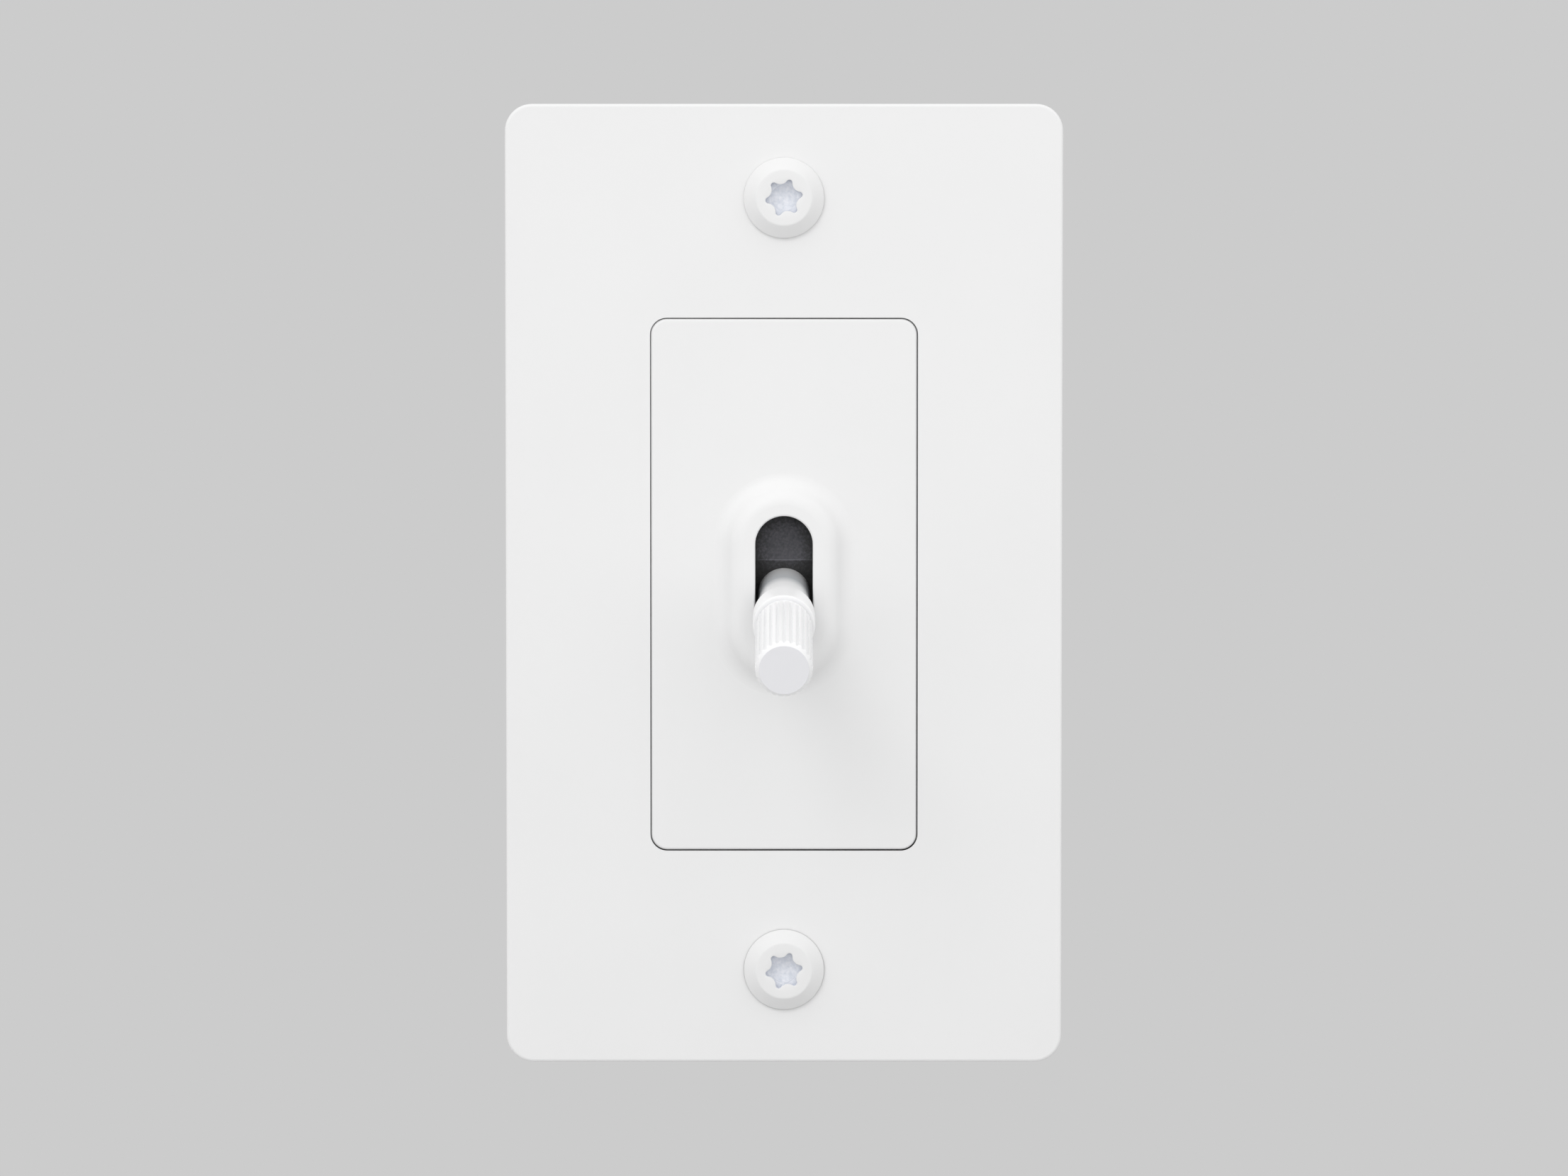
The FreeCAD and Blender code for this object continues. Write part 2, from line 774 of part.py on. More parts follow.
def open_terminal_bays(body, size):
    """Two bays in the right side, each open to the back, with a window for the terminal."""
    side = size.housing_width / 2
    bays = new_sketch(body, "terminal_bays", "YZ_Plane", side)
    windows = new_sketch(body, "terminal_windows", "YZ_Plane", size.bay_floor)
    clear = new_sketch(body, "terminal_screw_clearance", "YZ_Plane", size.bay_floor)
    for sign in (1, -1):
        low, high = sorted((sign * size.bay_low, sign * size.bay_high), key=lambda dim: dim.value)
        draw_box(bays, size.bay_front, low, size.housing_depth, high)
        draw_box(windows, size.terminal_front - size.window_room, low, size.housing_depth, high)
        draw_circle(clear, size.terminal_y, sign * size.terminal_z, size.machine_radius + size.tip_room)
    cut(body, bays, side - size.bay_floor)
    cut(body, windows, size.bay_floor - size.cavity_right)
    cut(body, clear, size.bay_floor - size.cavity_right)


def sink_panels(body, size):
    """Shallow sunk panels in the left side, the top and the bottom."""
    back = size.housing_depth - size.panel_margin
    panel = new_sketch(body, "side_panel", "YZ_Plane", -size.housing_width / 2)
    half_side = size.cavity_height / 2 - size.panel_end
    draw_box(panel, size.panel_margin, -half_side, back, half_side)
    cut(body, panel, size.panel_depth, along_normal=True)
    half_panel = size.housing_screw_x - size.panel_margin
    for name, sign in (("top_panel", 1), ("bottom_panel", -1)):
        panel = new_sketch(body, name, "XY_Plane", sign * size.housing_height / 2)
        draw_box(panel, -half_panel, size.panel_margin, half_panel, back)
        cut(body, panel, size.panel_depth, along_normal=sign < 0)


def rear_cover(doc, size):
    """The cover over the housing's back, with wire entries beside each terminal screw."""
    body = new_body(doc, "rear_cover")
    outline = new_sketch(body, "outline", offset=-size.housing_depth)
    draw_centred_box(outline, size.housing_width, size.housing_height)
    pad(body, outline, size.cover_thickness, backward=True)
    round_corners(body, "corners", size.housing_width, size.housing_height, size.housing_corner)
    back = size.housing_depth + size.cover_thickness
    round_face_edge(body, "back_edge", back, size.cover_edge)
    lip = new_sketch(body, "lip", offset=-size.housing_depth)
    half_lip = size.cavity_height / 2 - size.lip_room
    draw_box(lip, size.lip_room - size.cavity_left, -half_lip, size.cavity_right - size.lip_room, half_lip)
    pad(body, lip, size.cover_lip)
    wires = new_sketch(body, "wire_entries", offset=-back)
    for sign in (1, -1):
        for step in (1, -1):
            z = sign * size.terminal_z + step * size.wire_offset
            draw_circle(wires, size.wire_x, z, size.wire_hole / 2)
    cut(body, wires, size.cover_thickness, along_normal=True)
    soften(
        body,
        "wire_funnels",
        "Chamfer",
        size.wire_funnel,
        lambda edge: lies_at_y(edge, back.value) and is_ring(edge),
    )
    panel = new_sketch(body, "panel", offset=-back)
    half_panel = size.cavity_height / 2 - size.panel_margin
    draw_box(panel, size.panel_margin - size.cavity_left, -half_panel, size.cavity_right, half_panel)
    cut(body, panel, size.panel_depth, along_normal=True)
    sunk_holes(body, size, offset=-back, depth=size.cover_thickness + size.cover_lip, from_back=True)
    return body


def rocker(doc, size):
    """The black rocker: a flat crest with a wing above and below, a hub and a hollow rear stem."""
    body = new_body(doc, "rocker", **lever_frame(size))
    section = new_sketch(body, "section", "YZ_Plane", -size.rocker_width / 2)
    upper = [
        (-size.rocker_top, size.crease_height),
        (-size.wing_front, size.wing_height),
        (size.wing_back, size.wing_back_height),
        (size.hub_shoulder, size.hub_side),
        (size.hub_back, size.stem_radius),
    ]
    lower = [(y, -z) for y, z in reversed(upper)]
    draw_outline(section, upper + lower)
    pad(body, section, size.rocker_width)
    crease_distance = math.hypot(size.rocker_top.value, size.crease_height.value)

    def is_crease(edge):
        return runs_along(edge, X_AXIS) and abs(edge.CenterOfMass.Length - crease_distance) < NEAR

    soften(body, "crease", "Fillet", size.crease_radius, is_crease)
    stem = new_sketch(body, "stem", offset=-size.hub_back)
    draw_circle(stem, 0, 0, size.stem_radius)
    pad(body, stem, size.stem_end - size.hub_back, backward=True)
    spring_bore = new_sketch(body, "spring_bore", offset=-size.stem_end)
    draw_circle(spring_bore, 0, 0, size.plunger_radius + size.thread_fit)
    cut(body, spring_bore, size.stem_end - size.spring_seat, along_normal=True)
    mortise = new_sketch(body, "mortise", offset=size.rocker_top)
    draw_circle(mortise, 0, 0, size.tenon_radius)
    cut(body, mortise, size.rocker_top - size.tenon_end + size.seat_fit)
    pivot = new_sketch(body, "pivot_bore", "YZ_Plane", size.rocker_width / 2)
    draw_circle(pivot, 0, 0, size.pin_radius + size.running_fit)
    cut(body, pivot, size.rocker_width)
    return body


def lever_spindle(doc, size):
    """The lever's metal core: tenon, shank, collar, the neck in front of it, and the grip's stud."""
    body = new_body(doc, "lever_spindle", **lever_frame(size))
    tenon = size.tenon_radius - size.seat_fit
    stud = size.stud_radius - size.seat_fit
    spin(
        body,
        "profile",
        [
            (0, -size.tenon_end),
            (tenon, -size.tenon_end),
            (tenon, -size.rocker_top),
            (size.shank_radius, -size.rocker_top),
            (size.shank_radius, -size.collar_start),
            (size.collar_radius, -size.collar_start),
            (size.collar_radius, -size.collar_end),
            (size.neck_radius, -size.collar_end),
            (size.neck_radius, -size.grip_start),
            (stud, -size.grip_start),
            (stud, -size.stud_end),
            (0, -size.stud_end),
        ],
    )
    ends = (-size.collar_start.value, -size.collar_end.value)
    collar = size.collar_radius.value

    def is_collar_edge(edge):
        at_end = any(lies_at_y(edge, end) for end in ends)
        return at_end and abs(edge.Curve.Radius - collar) < NEAR

    soften(body, "collar_edge", "Fillet", size.collar_edge, is_collar_edge)
    return body


def knurled_grip(doc, size):
    """The grip: a cylinder with straight flutes all round and a bevel to its flat end."""
    body = new_body(doc, "knurled_grip", **lever_frame(size))
    bore_end = size.stud_end + size.stud_room
    spin(
        body,
        "profile",
        [
            (size.stud_radius, -size.grip_start),
            (size.grip_radius, -size.grip_start),
            (size.grip_radius, -size.grip_end),
            (size.tip_radius, -size.tip_end),
            (0, -size.tip_end),
            (0, -bore_end),
            (size.stud_radius, -bore_end),
        ],
    )
    flute = new_sketch(body, "flute", offset=size.tip_end)
    draw_circle(flute, 0, size.grip_radius + size.flute_offset, size.flute_radius)
    groove = cut(body, flute, size.tip_end - size.grip_start)
    repeat_round(body, groove, size.flute_count)
    return body


def pivot_pin(doc, size):
    """The steel pin that the rocker turns on, pushed in from the housing's right side."""
    body = new_body(doc, "pivot_pin", at=(0, size.pivot_depth, 0), turn=(-Z_AXIS, 90))
    left = size.pin_end_room + size.pin_seat - size.cavity_left
    right = size.housing_width / 2 - size.pin_sunk
    spin(body, "profile", rod_outline(size.pin_radius, left, right, size.pin_bevel))
    return body


def rod_outline(radius, low, high, bevel):
    """Half the section of a rod between two ends, bevelled at both."""
    return [
        (0, low),
        (radius - bevel, low),
        (radius, low + bevel),
        (radius, high - bevel),
        (radius - bevel, high),
        (0, high),
    ]


def plunger(doc, size):
    """The spring-loaded plunger with a domed tip that rocks the contact arm."""
    body = new_body(doc, "plunger", **lever_frame(size))
    nose = size.plunger_back - size.plunger_nose_length
    spin(
        body,
        "profile",
        [
            (0, nose),
            (size.plunger_nose, nose),
            (size.plunger_nose, size.plunger_back),
            (size.plunger_radius, size.plunger_back),
            (size.plunger_radius, size.plunger_tip - size.plunger_radius),
            (0, size.plunger_tip, (0, size.plunger_tip - size.plunger_radius)),
        ],
    )
    return body


def plunger_spring(doc, size):
    """The compression spring between the stem's floor and the plunger."""
    body = new_body(doc, "plunger_spring", **lever_frame(size))
    low = size.spring_seat + size.spring_wire / 2 + size.seat_fit
    high = size.plunger_back - size.spring_wire / 2 - size.seat_fit
    wire = new_sketch(body, "wire", "XY_Plane")
    draw_circle(wire, size.spring_radius, low, size.spring_wire / 2)
    coil = add_feature(body, "AdditiveHelix", wire)
    coil.ReferenceAxis = (wire, ["V_Axis"])
    coil.Mode = "pitch-height-angle"
    drive(coil, "Pitch", (high - low) / size.spring_turns)
    drive(coil, "Height", high - low)
    return body


def contact_arm(doc, size):
    """The rocking contact arm: a flat blade with a bored hub on its back."""
    body = new_body(doc, "contact_arm", **arm_frame(size))
    blade = new_sketch(body, "blade", offset=size.arm_front - size.arm_thickness)
    half = size.arm_width / 2
    tip = size.arm_tip_width / 2
    shoulder = size.arm_half / 2
    right = [(tip, -size.arm_half), (half, -shoulder), (half, shoulder), (tip, size.arm_half)]
    left = [(-x, z) for x, z in reversed(right)]
    draw_outline(blade, right + left)
    pad(body, blade, size.arm_thickness)
    hub = new_sketch(body, "hub", "YZ_Plane", -half)
    draw_circle(hub, 0, 0, size.arm_front)
    pad(body, hub, size.arm_width)
    bore = new_sketch(body, "bore", "YZ_Plane", half)
    draw_circle(bore, 0, 0, size.arm_pin_radius + size.running_fit)
    cut(body, bore, size.arm_width)
    rivet = new_sketch(body, "rivet_hole", offset=size.arm_front)
    draw_circle(rivet, 0, -size.contact_z, size.rivet_radius + size.seat_fit)
    cut(body, rivet, size.arm_thickness)
    return body


def moving_contact(doc, size):
    """The domed silver rivet in the contact arm's lower end."""
    body = new_body(doc, "moving_contact", **arm_frame(size))
    head = -(size.arm_front + size.rivet_head)
    back = size.arm_thickness - size.arm_front
    dome_top = back + size.contact_height
    spin(
        body,
        "profile",
        [
            (0, head),
            (size.rivet_head_radius, head),
            (size.rivet_head_radius, -size.arm_front),
            (size.rivet_radius, -size.arm_front),
            (size.rivet_radius, back),
            (size.contact_radius, back),
            (size.contact_radius, back + size.contact_rim),
            (0, dome_top, (0, dome_top - size.dome_radius)),
        ],
        offset=-size.contact_z,
    )
    return body


def contact_pivot_pin(doc, size):
    """The pin between the line terminal's ears that the contact arm rocks on."""
    body = new_body(doc, "contact_pivot_pin", at=(0, size.arm_pivot, 0), turn=(-Z_AXIS, 90))
    half = size.arm_width / 2 + size.ear_room + size.terminal_thickness
    spin(body, "profile", rod_outline(size.arm_pin_radius, -half, half, size.arm_pin_bevel))
    return body


def side_leaf(body, size, low, high, screw_z):
    """The terminal's leaf along the bay floor, bent from the back leaf and tapped for its screw."""
    back = size.terminal_front + size.terminal_thickness
    side = size.bay_floor + size.terminal_thickness
    leaf = new_sketch(body, "side_leaf", offset=-back)
    draw_box(leaf, size.bay_floor, low, side, high)
    pad(body, leaf, back - size.terminal_end)
    round_upright_edge(body, "bend", side, back, size.terminal_thickness / 2)
    screw_hole = new_sketch(body, "screw_hole", "YZ_Plane", side)
    draw_circle(screw_hole, size.terminal_y, screw_z, size.machine_radius + size.thread_fit)
    cut(body, screw_hole, size.terminal_thickness)


def line_terminal(doc, size):
    """The line terminal: back leaf with two ears that carry the contact arm's pin."""
    body = new_body(doc, "line_terminal")
    back = size.terminal_front + size.terminal_thickness
    side = size.bay_floor + size.terminal_thickness
    ear_inner = size.arm_width / 2 + size.ear_room
    ear_outer = ear_inner + size.terminal_thickness
    leaf = new_sketch(body, "back_leaf", offset=-back)
    ear_half = size.arm_front + size.ear_room
    draw_outline(
        leaf,
        [
            (-ear_outer, -ear_half),
            (ear_outer, -ear_half),
            (ear_outer, size.terminal_low),
            (side, size.terminal_low),
            (side, size.terminal_high),
            (-ear_outer, size.terminal_high),
        ],
    )
    pad(body, leaf, size.terminal_thickness)
    ears = new_sketch(body, "ears", offset=-size.terminal_front)
    for left, right in ((ear_inner, ear_outer), (-ear_outer, -ear_inner)):
        draw_box(ears, left, -ear_half, right, ear_half)
    pad(body, ears, size.terminal_front - size.arm_pivot + ear_half)
    pin_hole = new_sketch(body, "pin_hole", "YZ_Plane", ear_outer)
    draw_circle(pin_hole, size.arm_pivot, 0, size.arm_pin_radius + size.seat_fit / 2)
    cut(body, pin_hole, 2 * ear_outer)
    side_leaf(body, size, size.terminal_low, size.terminal_high, size.terminal_z)
    return body


def load_terminal(doc, size):
    """The load terminal: back leaf that holds the fixed contact."""
    body = new_body(doc, "load_terminal")
    back = size.terminal_front + size.terminal_thickness
    side = size.bay_floor + size.terminal_thickness
    leaf = new_sketch(body, "back_leaf", offset=-back)
    draw_box(leaf, -2 * size.fixed_radius, -size.terminal_high, side, -size.terminal_low)
    pad(body, leaf, size.terminal_thickness)
    rivet = new_sketch(body, "rivet_hole", offset=-size.terminal_front)
    draw_circle(rivet, 0, -size.fixed_z, size.rivet_radius + size.seat_fit)
    cut(body, rivet, size.terminal_thickness)
    side_leaf(body, size, -size.terminal_high, -size.terminal_low, -size.terminal_z)
    return body


def fixed_contact(doc, size):
    """The flat silver rivet that the moving contact closes against."""
    body = new_body(doc, "fixed_contact", at=(0, 0, -size.fixed_z))
    back = size.terminal_front + size.terminal_thickness
    spin(
        body,
        "profile",
        [
            (0, size.fixed_front),
            (size.fixed_radius - size.fixed_bevel, size.fixed_front),
            (size.fixed_radius, size.fixed_front + size.fixed_bevel),
            (size.fixed_radius, size.terminal_front),
            (size.rivet_radius, size.terminal_front),
            (size.rivet_radius, back),
            (0, back),
        ],
    )
    return body


def clamp_stack(size, face):
    """Distances from the middle of the switch to the clamp plate's two faces, left open."""
    inner = face + size.terminal_gap
    return inner, inner + size.clamp_thickness


def clamp_plate(doc, label, size, where, face):
    """A wire clamp: a square plate under a terminal screw's head, with a groove for each wire."""
    body = new_body(doc, label, **where)
    inner, outer = clamp_stack(size, face)
    outline = new_sketch(body, "outline", offset=-outer)
    draw_centred_box(outline, size.clamp_width, size.clamp_length)
    pad(body, outline, size.clamp_thickness)
    round_corners(body, "corners", size.clamp_width, size.clamp_length, size.clamp_corner)
    hole = new_sketch(body, "hole", offset=-inner)
    draw_circle(hole, 0, 0, size.machine_radius + size.thread_fit)
    cut(body, hole, size.clamp_thickness)
    grooves = new_sketch(body, "wire_grooves", "YZ_Plane", size.clamp_width / 2)
    centre = inner + size.groove_depth - size.groove_radius
    for side in (1, -1):
        draw_circle(grooves, centre, side * size.wire_offset, size.groove_radius)
    cut(body, grooves, size.clamp_width)
    return body


def terminal_screw(doc, label, size, where, face):
    """A slotted terminal screw that carries its clamp plate."""
    body = new_body(doc, label, **where)
    _, seat = clamp_stack(size, face)
    head = seat + size.terminal_head_height
    end = face - size.terminal_thickness - size.terminal_screw_tip
    spin(
        body,
        "profile",
        [
            (0, end),
            (size.machine_radius - size.machine_lead, end),
            (size.machine_radius, end + size.machine_lead),
            (size.machine_radius, seat),
            (size.terminal_head, seat),
            (size.terminal_head, head - size.head_bevel),
            (size.terminal_head - size.head_bevel, head),
            (0, head),
        ],
    )
    slot = new_sketch(body, "drive_slot", offset=-head)
    draw_centred_box(slot, size.terminal_slot_cut, 3 * size.terminal_head)
    cut(body, slot, size.terminal_slot_depth, along_normal=True)
    return body


def terminals(doc, size):
    """Screw and clamp plate for line, load and ground, all shown loose, ready for a wire."""
    side = size.bay_floor + size.terminal_thickness
    right = (-Z_AXIS, 90)
    left = (Z_AXIS, 90)
    pieces = []
    for name, sign in (("line", 1), ("load", -1)):
        where = {"at": (0, size.terminal_y, sign * size.terminal_z), "turn": right}
        pieces.append(clamp_plate(doc, f"{name}_clamp_plate", size, where, side))
        pieces.append(terminal_screw(doc, f"{name}_terminal_screw", size, where, side))
    where = {"at": (0, size.tab_screw_y, -size.tab_z), "turn": left}
    pieces.append(clamp_plate(doc, "ground_clamp_plate", size, where, size.tab_side))
    pieces.append(terminal_screw(doc, "ground_screw", size, where, size.tab_side))
    return pieces


def socket_outline(size):
    """A six-lobe star: six outward lobes joined by six inward bulges, all arcs tangent."""
    lobe_distance = size.socket_tip - size.socket_lobe
    slack = size.socket_waist - size.socket_lobe
    bulge_distance = (lobe_distance * lobe_distance - slack * slack) / (
        2 * (lobe_distance * math.cos(math.radians(30)) - slack)
    )
    share = size.socket_lobe / (size.socket_lobe + bulge_distance - size.socket_waist)

    def around(distance, step):
        angle = size.socket_turn + 30 * step
        return distance * sine(angle), distance * cosine(angle)

    def touching(lobe, bulge):
        return tuple(a + (b - a) * share for a, b in zip(lobe, bulge))

    corners = []
    for step in range(0, 12, 2):
        lobe = around(lobe_distance, step)
        before = around(bulge_distance, step - 1)
        after = around(bulge_distance, step + 1)
        corners.append((*touching(lobe, before), before))
        corners.append((*touching(lobe, after), lobe))
    return corners


def coin_screws(doc, size):
    """The two round plate screws: a bevelled head with a six-lobe socket."""
    body = new_body(doc, "coin_screw")
    seat = -size.plate_depth
    top = seat - size.coin_height
    end = size.strap_thickness
    spin(
        body,
        "profile",
        [
            (0, end),
            (size.machine_radius - size.machine_lead, end),
            (size.machine_radius, end - size.machine_lead),
            (size.machine_radius, seat),
            (size.coin_radius, seat),
            (size.coin_radius, seat - size.coin_rim),
            (size.coin_flat, top),
            (0, top),
        ],
    )

    def on_head(edge):
        return is_ring(edge) and edge.CenterOfMass.y < seat.value - NEAR

    soften(body, "head_edges", "Fillet", size.coin_edge, on_head)
    star = new_sketch(body, "socket", offset=-top)
    draw_outline(star, socket_outline(size))
    cut(body, star, size.socket_depth)
    core = new_sketch(body, "socket_core", "XY_Plane")
    bottom = top + size.socket_core_depth
    edge = size.socket_core
    draw_outline(core, [(0, top), (edge, top), (edge, bottom), (0, bottom + size.socket_point)])
    drill = add_feature(body, "Groove", core)
    drill.ReferenceAxis = (core, ["V_Axis"])
    drill.Angle = 360
    return copies(doc, "coin_screws", body, above_and_below(size.plate_screw_z))


def box_screws(doc, size):
    """The two screws that hold the strap to the wall box, and the squares that keep them in it."""
    body = new_body(doc, "box_screw")
    seat = -size.strap_thickness
    head = seat - size.box_head_height
    end = size.housing_depth
    spin(
        body,
        "profile",
        [
            (0, end),
            (size.machine_radius - size.box_screw_lead, end),
            (size.machine_radius, end - size.box_screw_lead),
            (size.machine_radius, size.box_neck_end),
            (size.box_neck_radius, size.box_neck_end),
            (size.box_neck_radius, seat),
            (size.machine_head, seat),
            (size.machine_head, seat - size.box_head_rim),
            (size.machine_head - size.box_head_slope, head),
            (0, head),
        ],
    )
    slot = new_sketch(body, "drive_slot", offset=-head)
    draw_centred_box(slot, 3 * size.machine_head, size.box_slot_cut)
    cut(body, slot, size.box_slot_depth)
    retainer = new_body(doc, "screw_retainer")
    square = new_sketch(retainer, "square")
    draw_centred_box(square, size.retainer_side, size.retainer_side)
    pad(retainer, square, size.retainer_thickness, backward=True)
    hole = new_sketch(retainer, "hole")
    draw_circle(hole, 0, 0, size.machine_radius + size.thread_fit)
    cut(retainer, hole, size.retainer_thickness)
    places = above_and_below(size.box_screw_z)
    return [
        copies(doc, "box_screws", body, places),
        copies(doc, "screw_retainers", retainer, places),
    ]


def insert_screws(doc, size):
    """The two screws that hold the insert, from behind the strap."""
    body = new_body(doc, "insert_screw")
    head = size.small_head_height
    end = size.insert_screw_end - size.plate_depth
    spin(
        body,
        "profile",
        [
            (0, end),
            (size.small_radius - size.small_lead, end),
            (size.small_radius, end + size.small_lead),
            (size.small_radius, 0),
            (size.small_head, 0),
            (size.small_head, head - size.head_bevel),
            (size.small_head - size.head_bevel, head),
            (0, head),
        ],
    )
    slot = new_sketch(body, "drive_slot", offset=-head)
    draw_centred_box(slot, size.small_slot_cut, 3 * size.small_head)
    cut(body, slot, size.small_slot_cut, along_normal=True)
    return copies(doc, "insert_screws", body, above_and_below(size.insert_screw_z))


def corner_screws(doc, size):
    """Four countersunk screws through the strap and four through the rear cover."""
    body = new_body(doc, "corner_screw")
    sink = size.small_head - size.small_radius
    end = size.corner_screw_length - size.strap_thickness
    top = -size.strap_thickness
    spin(
        body,
        "profile",
        [
            (0, top),
            (size.small_head, top),
            (size.small_radius, top + sink),
            (size.small_radius, end - size.corner_screw_point),
            (size.small_lead, end),
            (0, end),
        ],
    )
    across = (size.cross_length, size.cross_width)
    for name, (width, height) in (("slot_across", across), ("slot_upright", across[::-1])):
        slot = new_sketch(body, name, offset=-top)
        draw_centred_box(slot, width, height)
        cut(body, slot, size.cross_depth)
    front = [{"at": (x, 0, z)} for x, z in four_corners(size)]
    back = size.housing_depth + size.cover_thickness - size.strap_thickness
    rear = [{"at": (x, back, z), "turn": (Z_AXIS, 180)} for x, z in four_corners(size)]
    return [
        copies(doc, "housing_screws", body, front),
        copies(doc, "cover_screws", body, rear),
    ]


def travel_bumpers(doc, size):
    """Rubber buffers on the housing's ledges that stop the rocker's wings."""
    body = new_body(doc, "travel_bumper")
    shelf = size.cheek_end
    plug = shelf + size.bumper_plug
    spin(
        body,
        "profile",
        [
            (0, size.bumper_front),
            (size.bumper_radius - size.bumper_edge, size.bumper_front),
            (size.bumper_radius, size.bumper_front + size.bumper_edge),
            (size.bumper_radius, shelf),
            (size.bumper_radius / 2, shelf),
            (size.bumper_radius / 2, plug),
            (0, plug),
        ],
    )
    return copies(doc, "travel_bumpers", body, above_and_below(size.bumper_z))


def build(doc):
    size = make_sheet(doc)
    single = (
        wall_plate,
        face_insert,
        mounting_strap,
        switch_housing,
        rear_cover,
        rocker,
        lever_spindle,
        knurled_grip,
        pivot_pin,
        plunger,
        plunger_spring,
        contact_arm,
        moving_contact,
        contact_pivot_pin,
        line_terminal,
        load_terminal,
        fixed_contact,
        coin_screws,
        insert_screws,
        travel_bumpers,
    )
    pieces = [make(doc, size) for make in single]
    for make in (terminals, box_screws, corner_screws):
        pieces.extend(make(doc, size))
    return pieces


def check(doc, pieces):
    doc.recompute()
    failed = [thing.Name for thing in doc.Objects if {"Invalid", "Error"} & set(thing.State)]
    if failed:
        raise RuntimeError(f"failed to build: {failed}")
    for piece in pieces:
        if piece.Shape.isNull() or not piece.Shape.isValid() or not piece.Shape.Solids:
            raise RuntimeError(f"{piece.Label} has no valid solid")


def main():
    doc = FreeCAD.newDocument("toggle_wall_switch")
    pieces = build(doc)
    check(doc, pieces)
    os.makedirs("parts", exist_ok=True)
    for piece in pieces:
        piece.Shape.exportStep(f"parts/{piece.Label}.step")
        print(f"{piece.Label}: {len(piece.Shape.Solids)} solids, {piece.Shape.Volume:.1f} mm3")


main()
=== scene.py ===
import json
import math

import bmesh
import bpy
from mathutils import Matrix, Vector


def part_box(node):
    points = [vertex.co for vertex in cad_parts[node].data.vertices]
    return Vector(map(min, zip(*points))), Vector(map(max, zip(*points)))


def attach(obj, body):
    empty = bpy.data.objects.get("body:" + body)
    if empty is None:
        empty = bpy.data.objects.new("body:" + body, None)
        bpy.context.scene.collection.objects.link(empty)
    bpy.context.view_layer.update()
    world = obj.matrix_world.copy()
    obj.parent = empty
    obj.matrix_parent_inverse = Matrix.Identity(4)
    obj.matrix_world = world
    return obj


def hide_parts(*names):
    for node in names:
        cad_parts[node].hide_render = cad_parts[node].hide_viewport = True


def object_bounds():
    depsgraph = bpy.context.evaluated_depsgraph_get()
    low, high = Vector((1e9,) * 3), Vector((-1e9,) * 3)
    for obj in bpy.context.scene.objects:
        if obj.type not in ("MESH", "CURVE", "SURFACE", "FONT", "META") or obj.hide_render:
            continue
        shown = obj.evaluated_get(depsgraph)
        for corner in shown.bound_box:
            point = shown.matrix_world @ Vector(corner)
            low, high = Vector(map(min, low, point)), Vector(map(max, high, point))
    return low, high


MM = 0.001

# The 6-32 thread of every screw that is built here.
THREAD_MINOR = 1.36 * MM
THREAD_MAJOR = 1.75 * MM
THREAD_PITCH = 0.794 * MM

# Mesh points nearer than this are one point.
SAME_PLACE = 0.5e-6


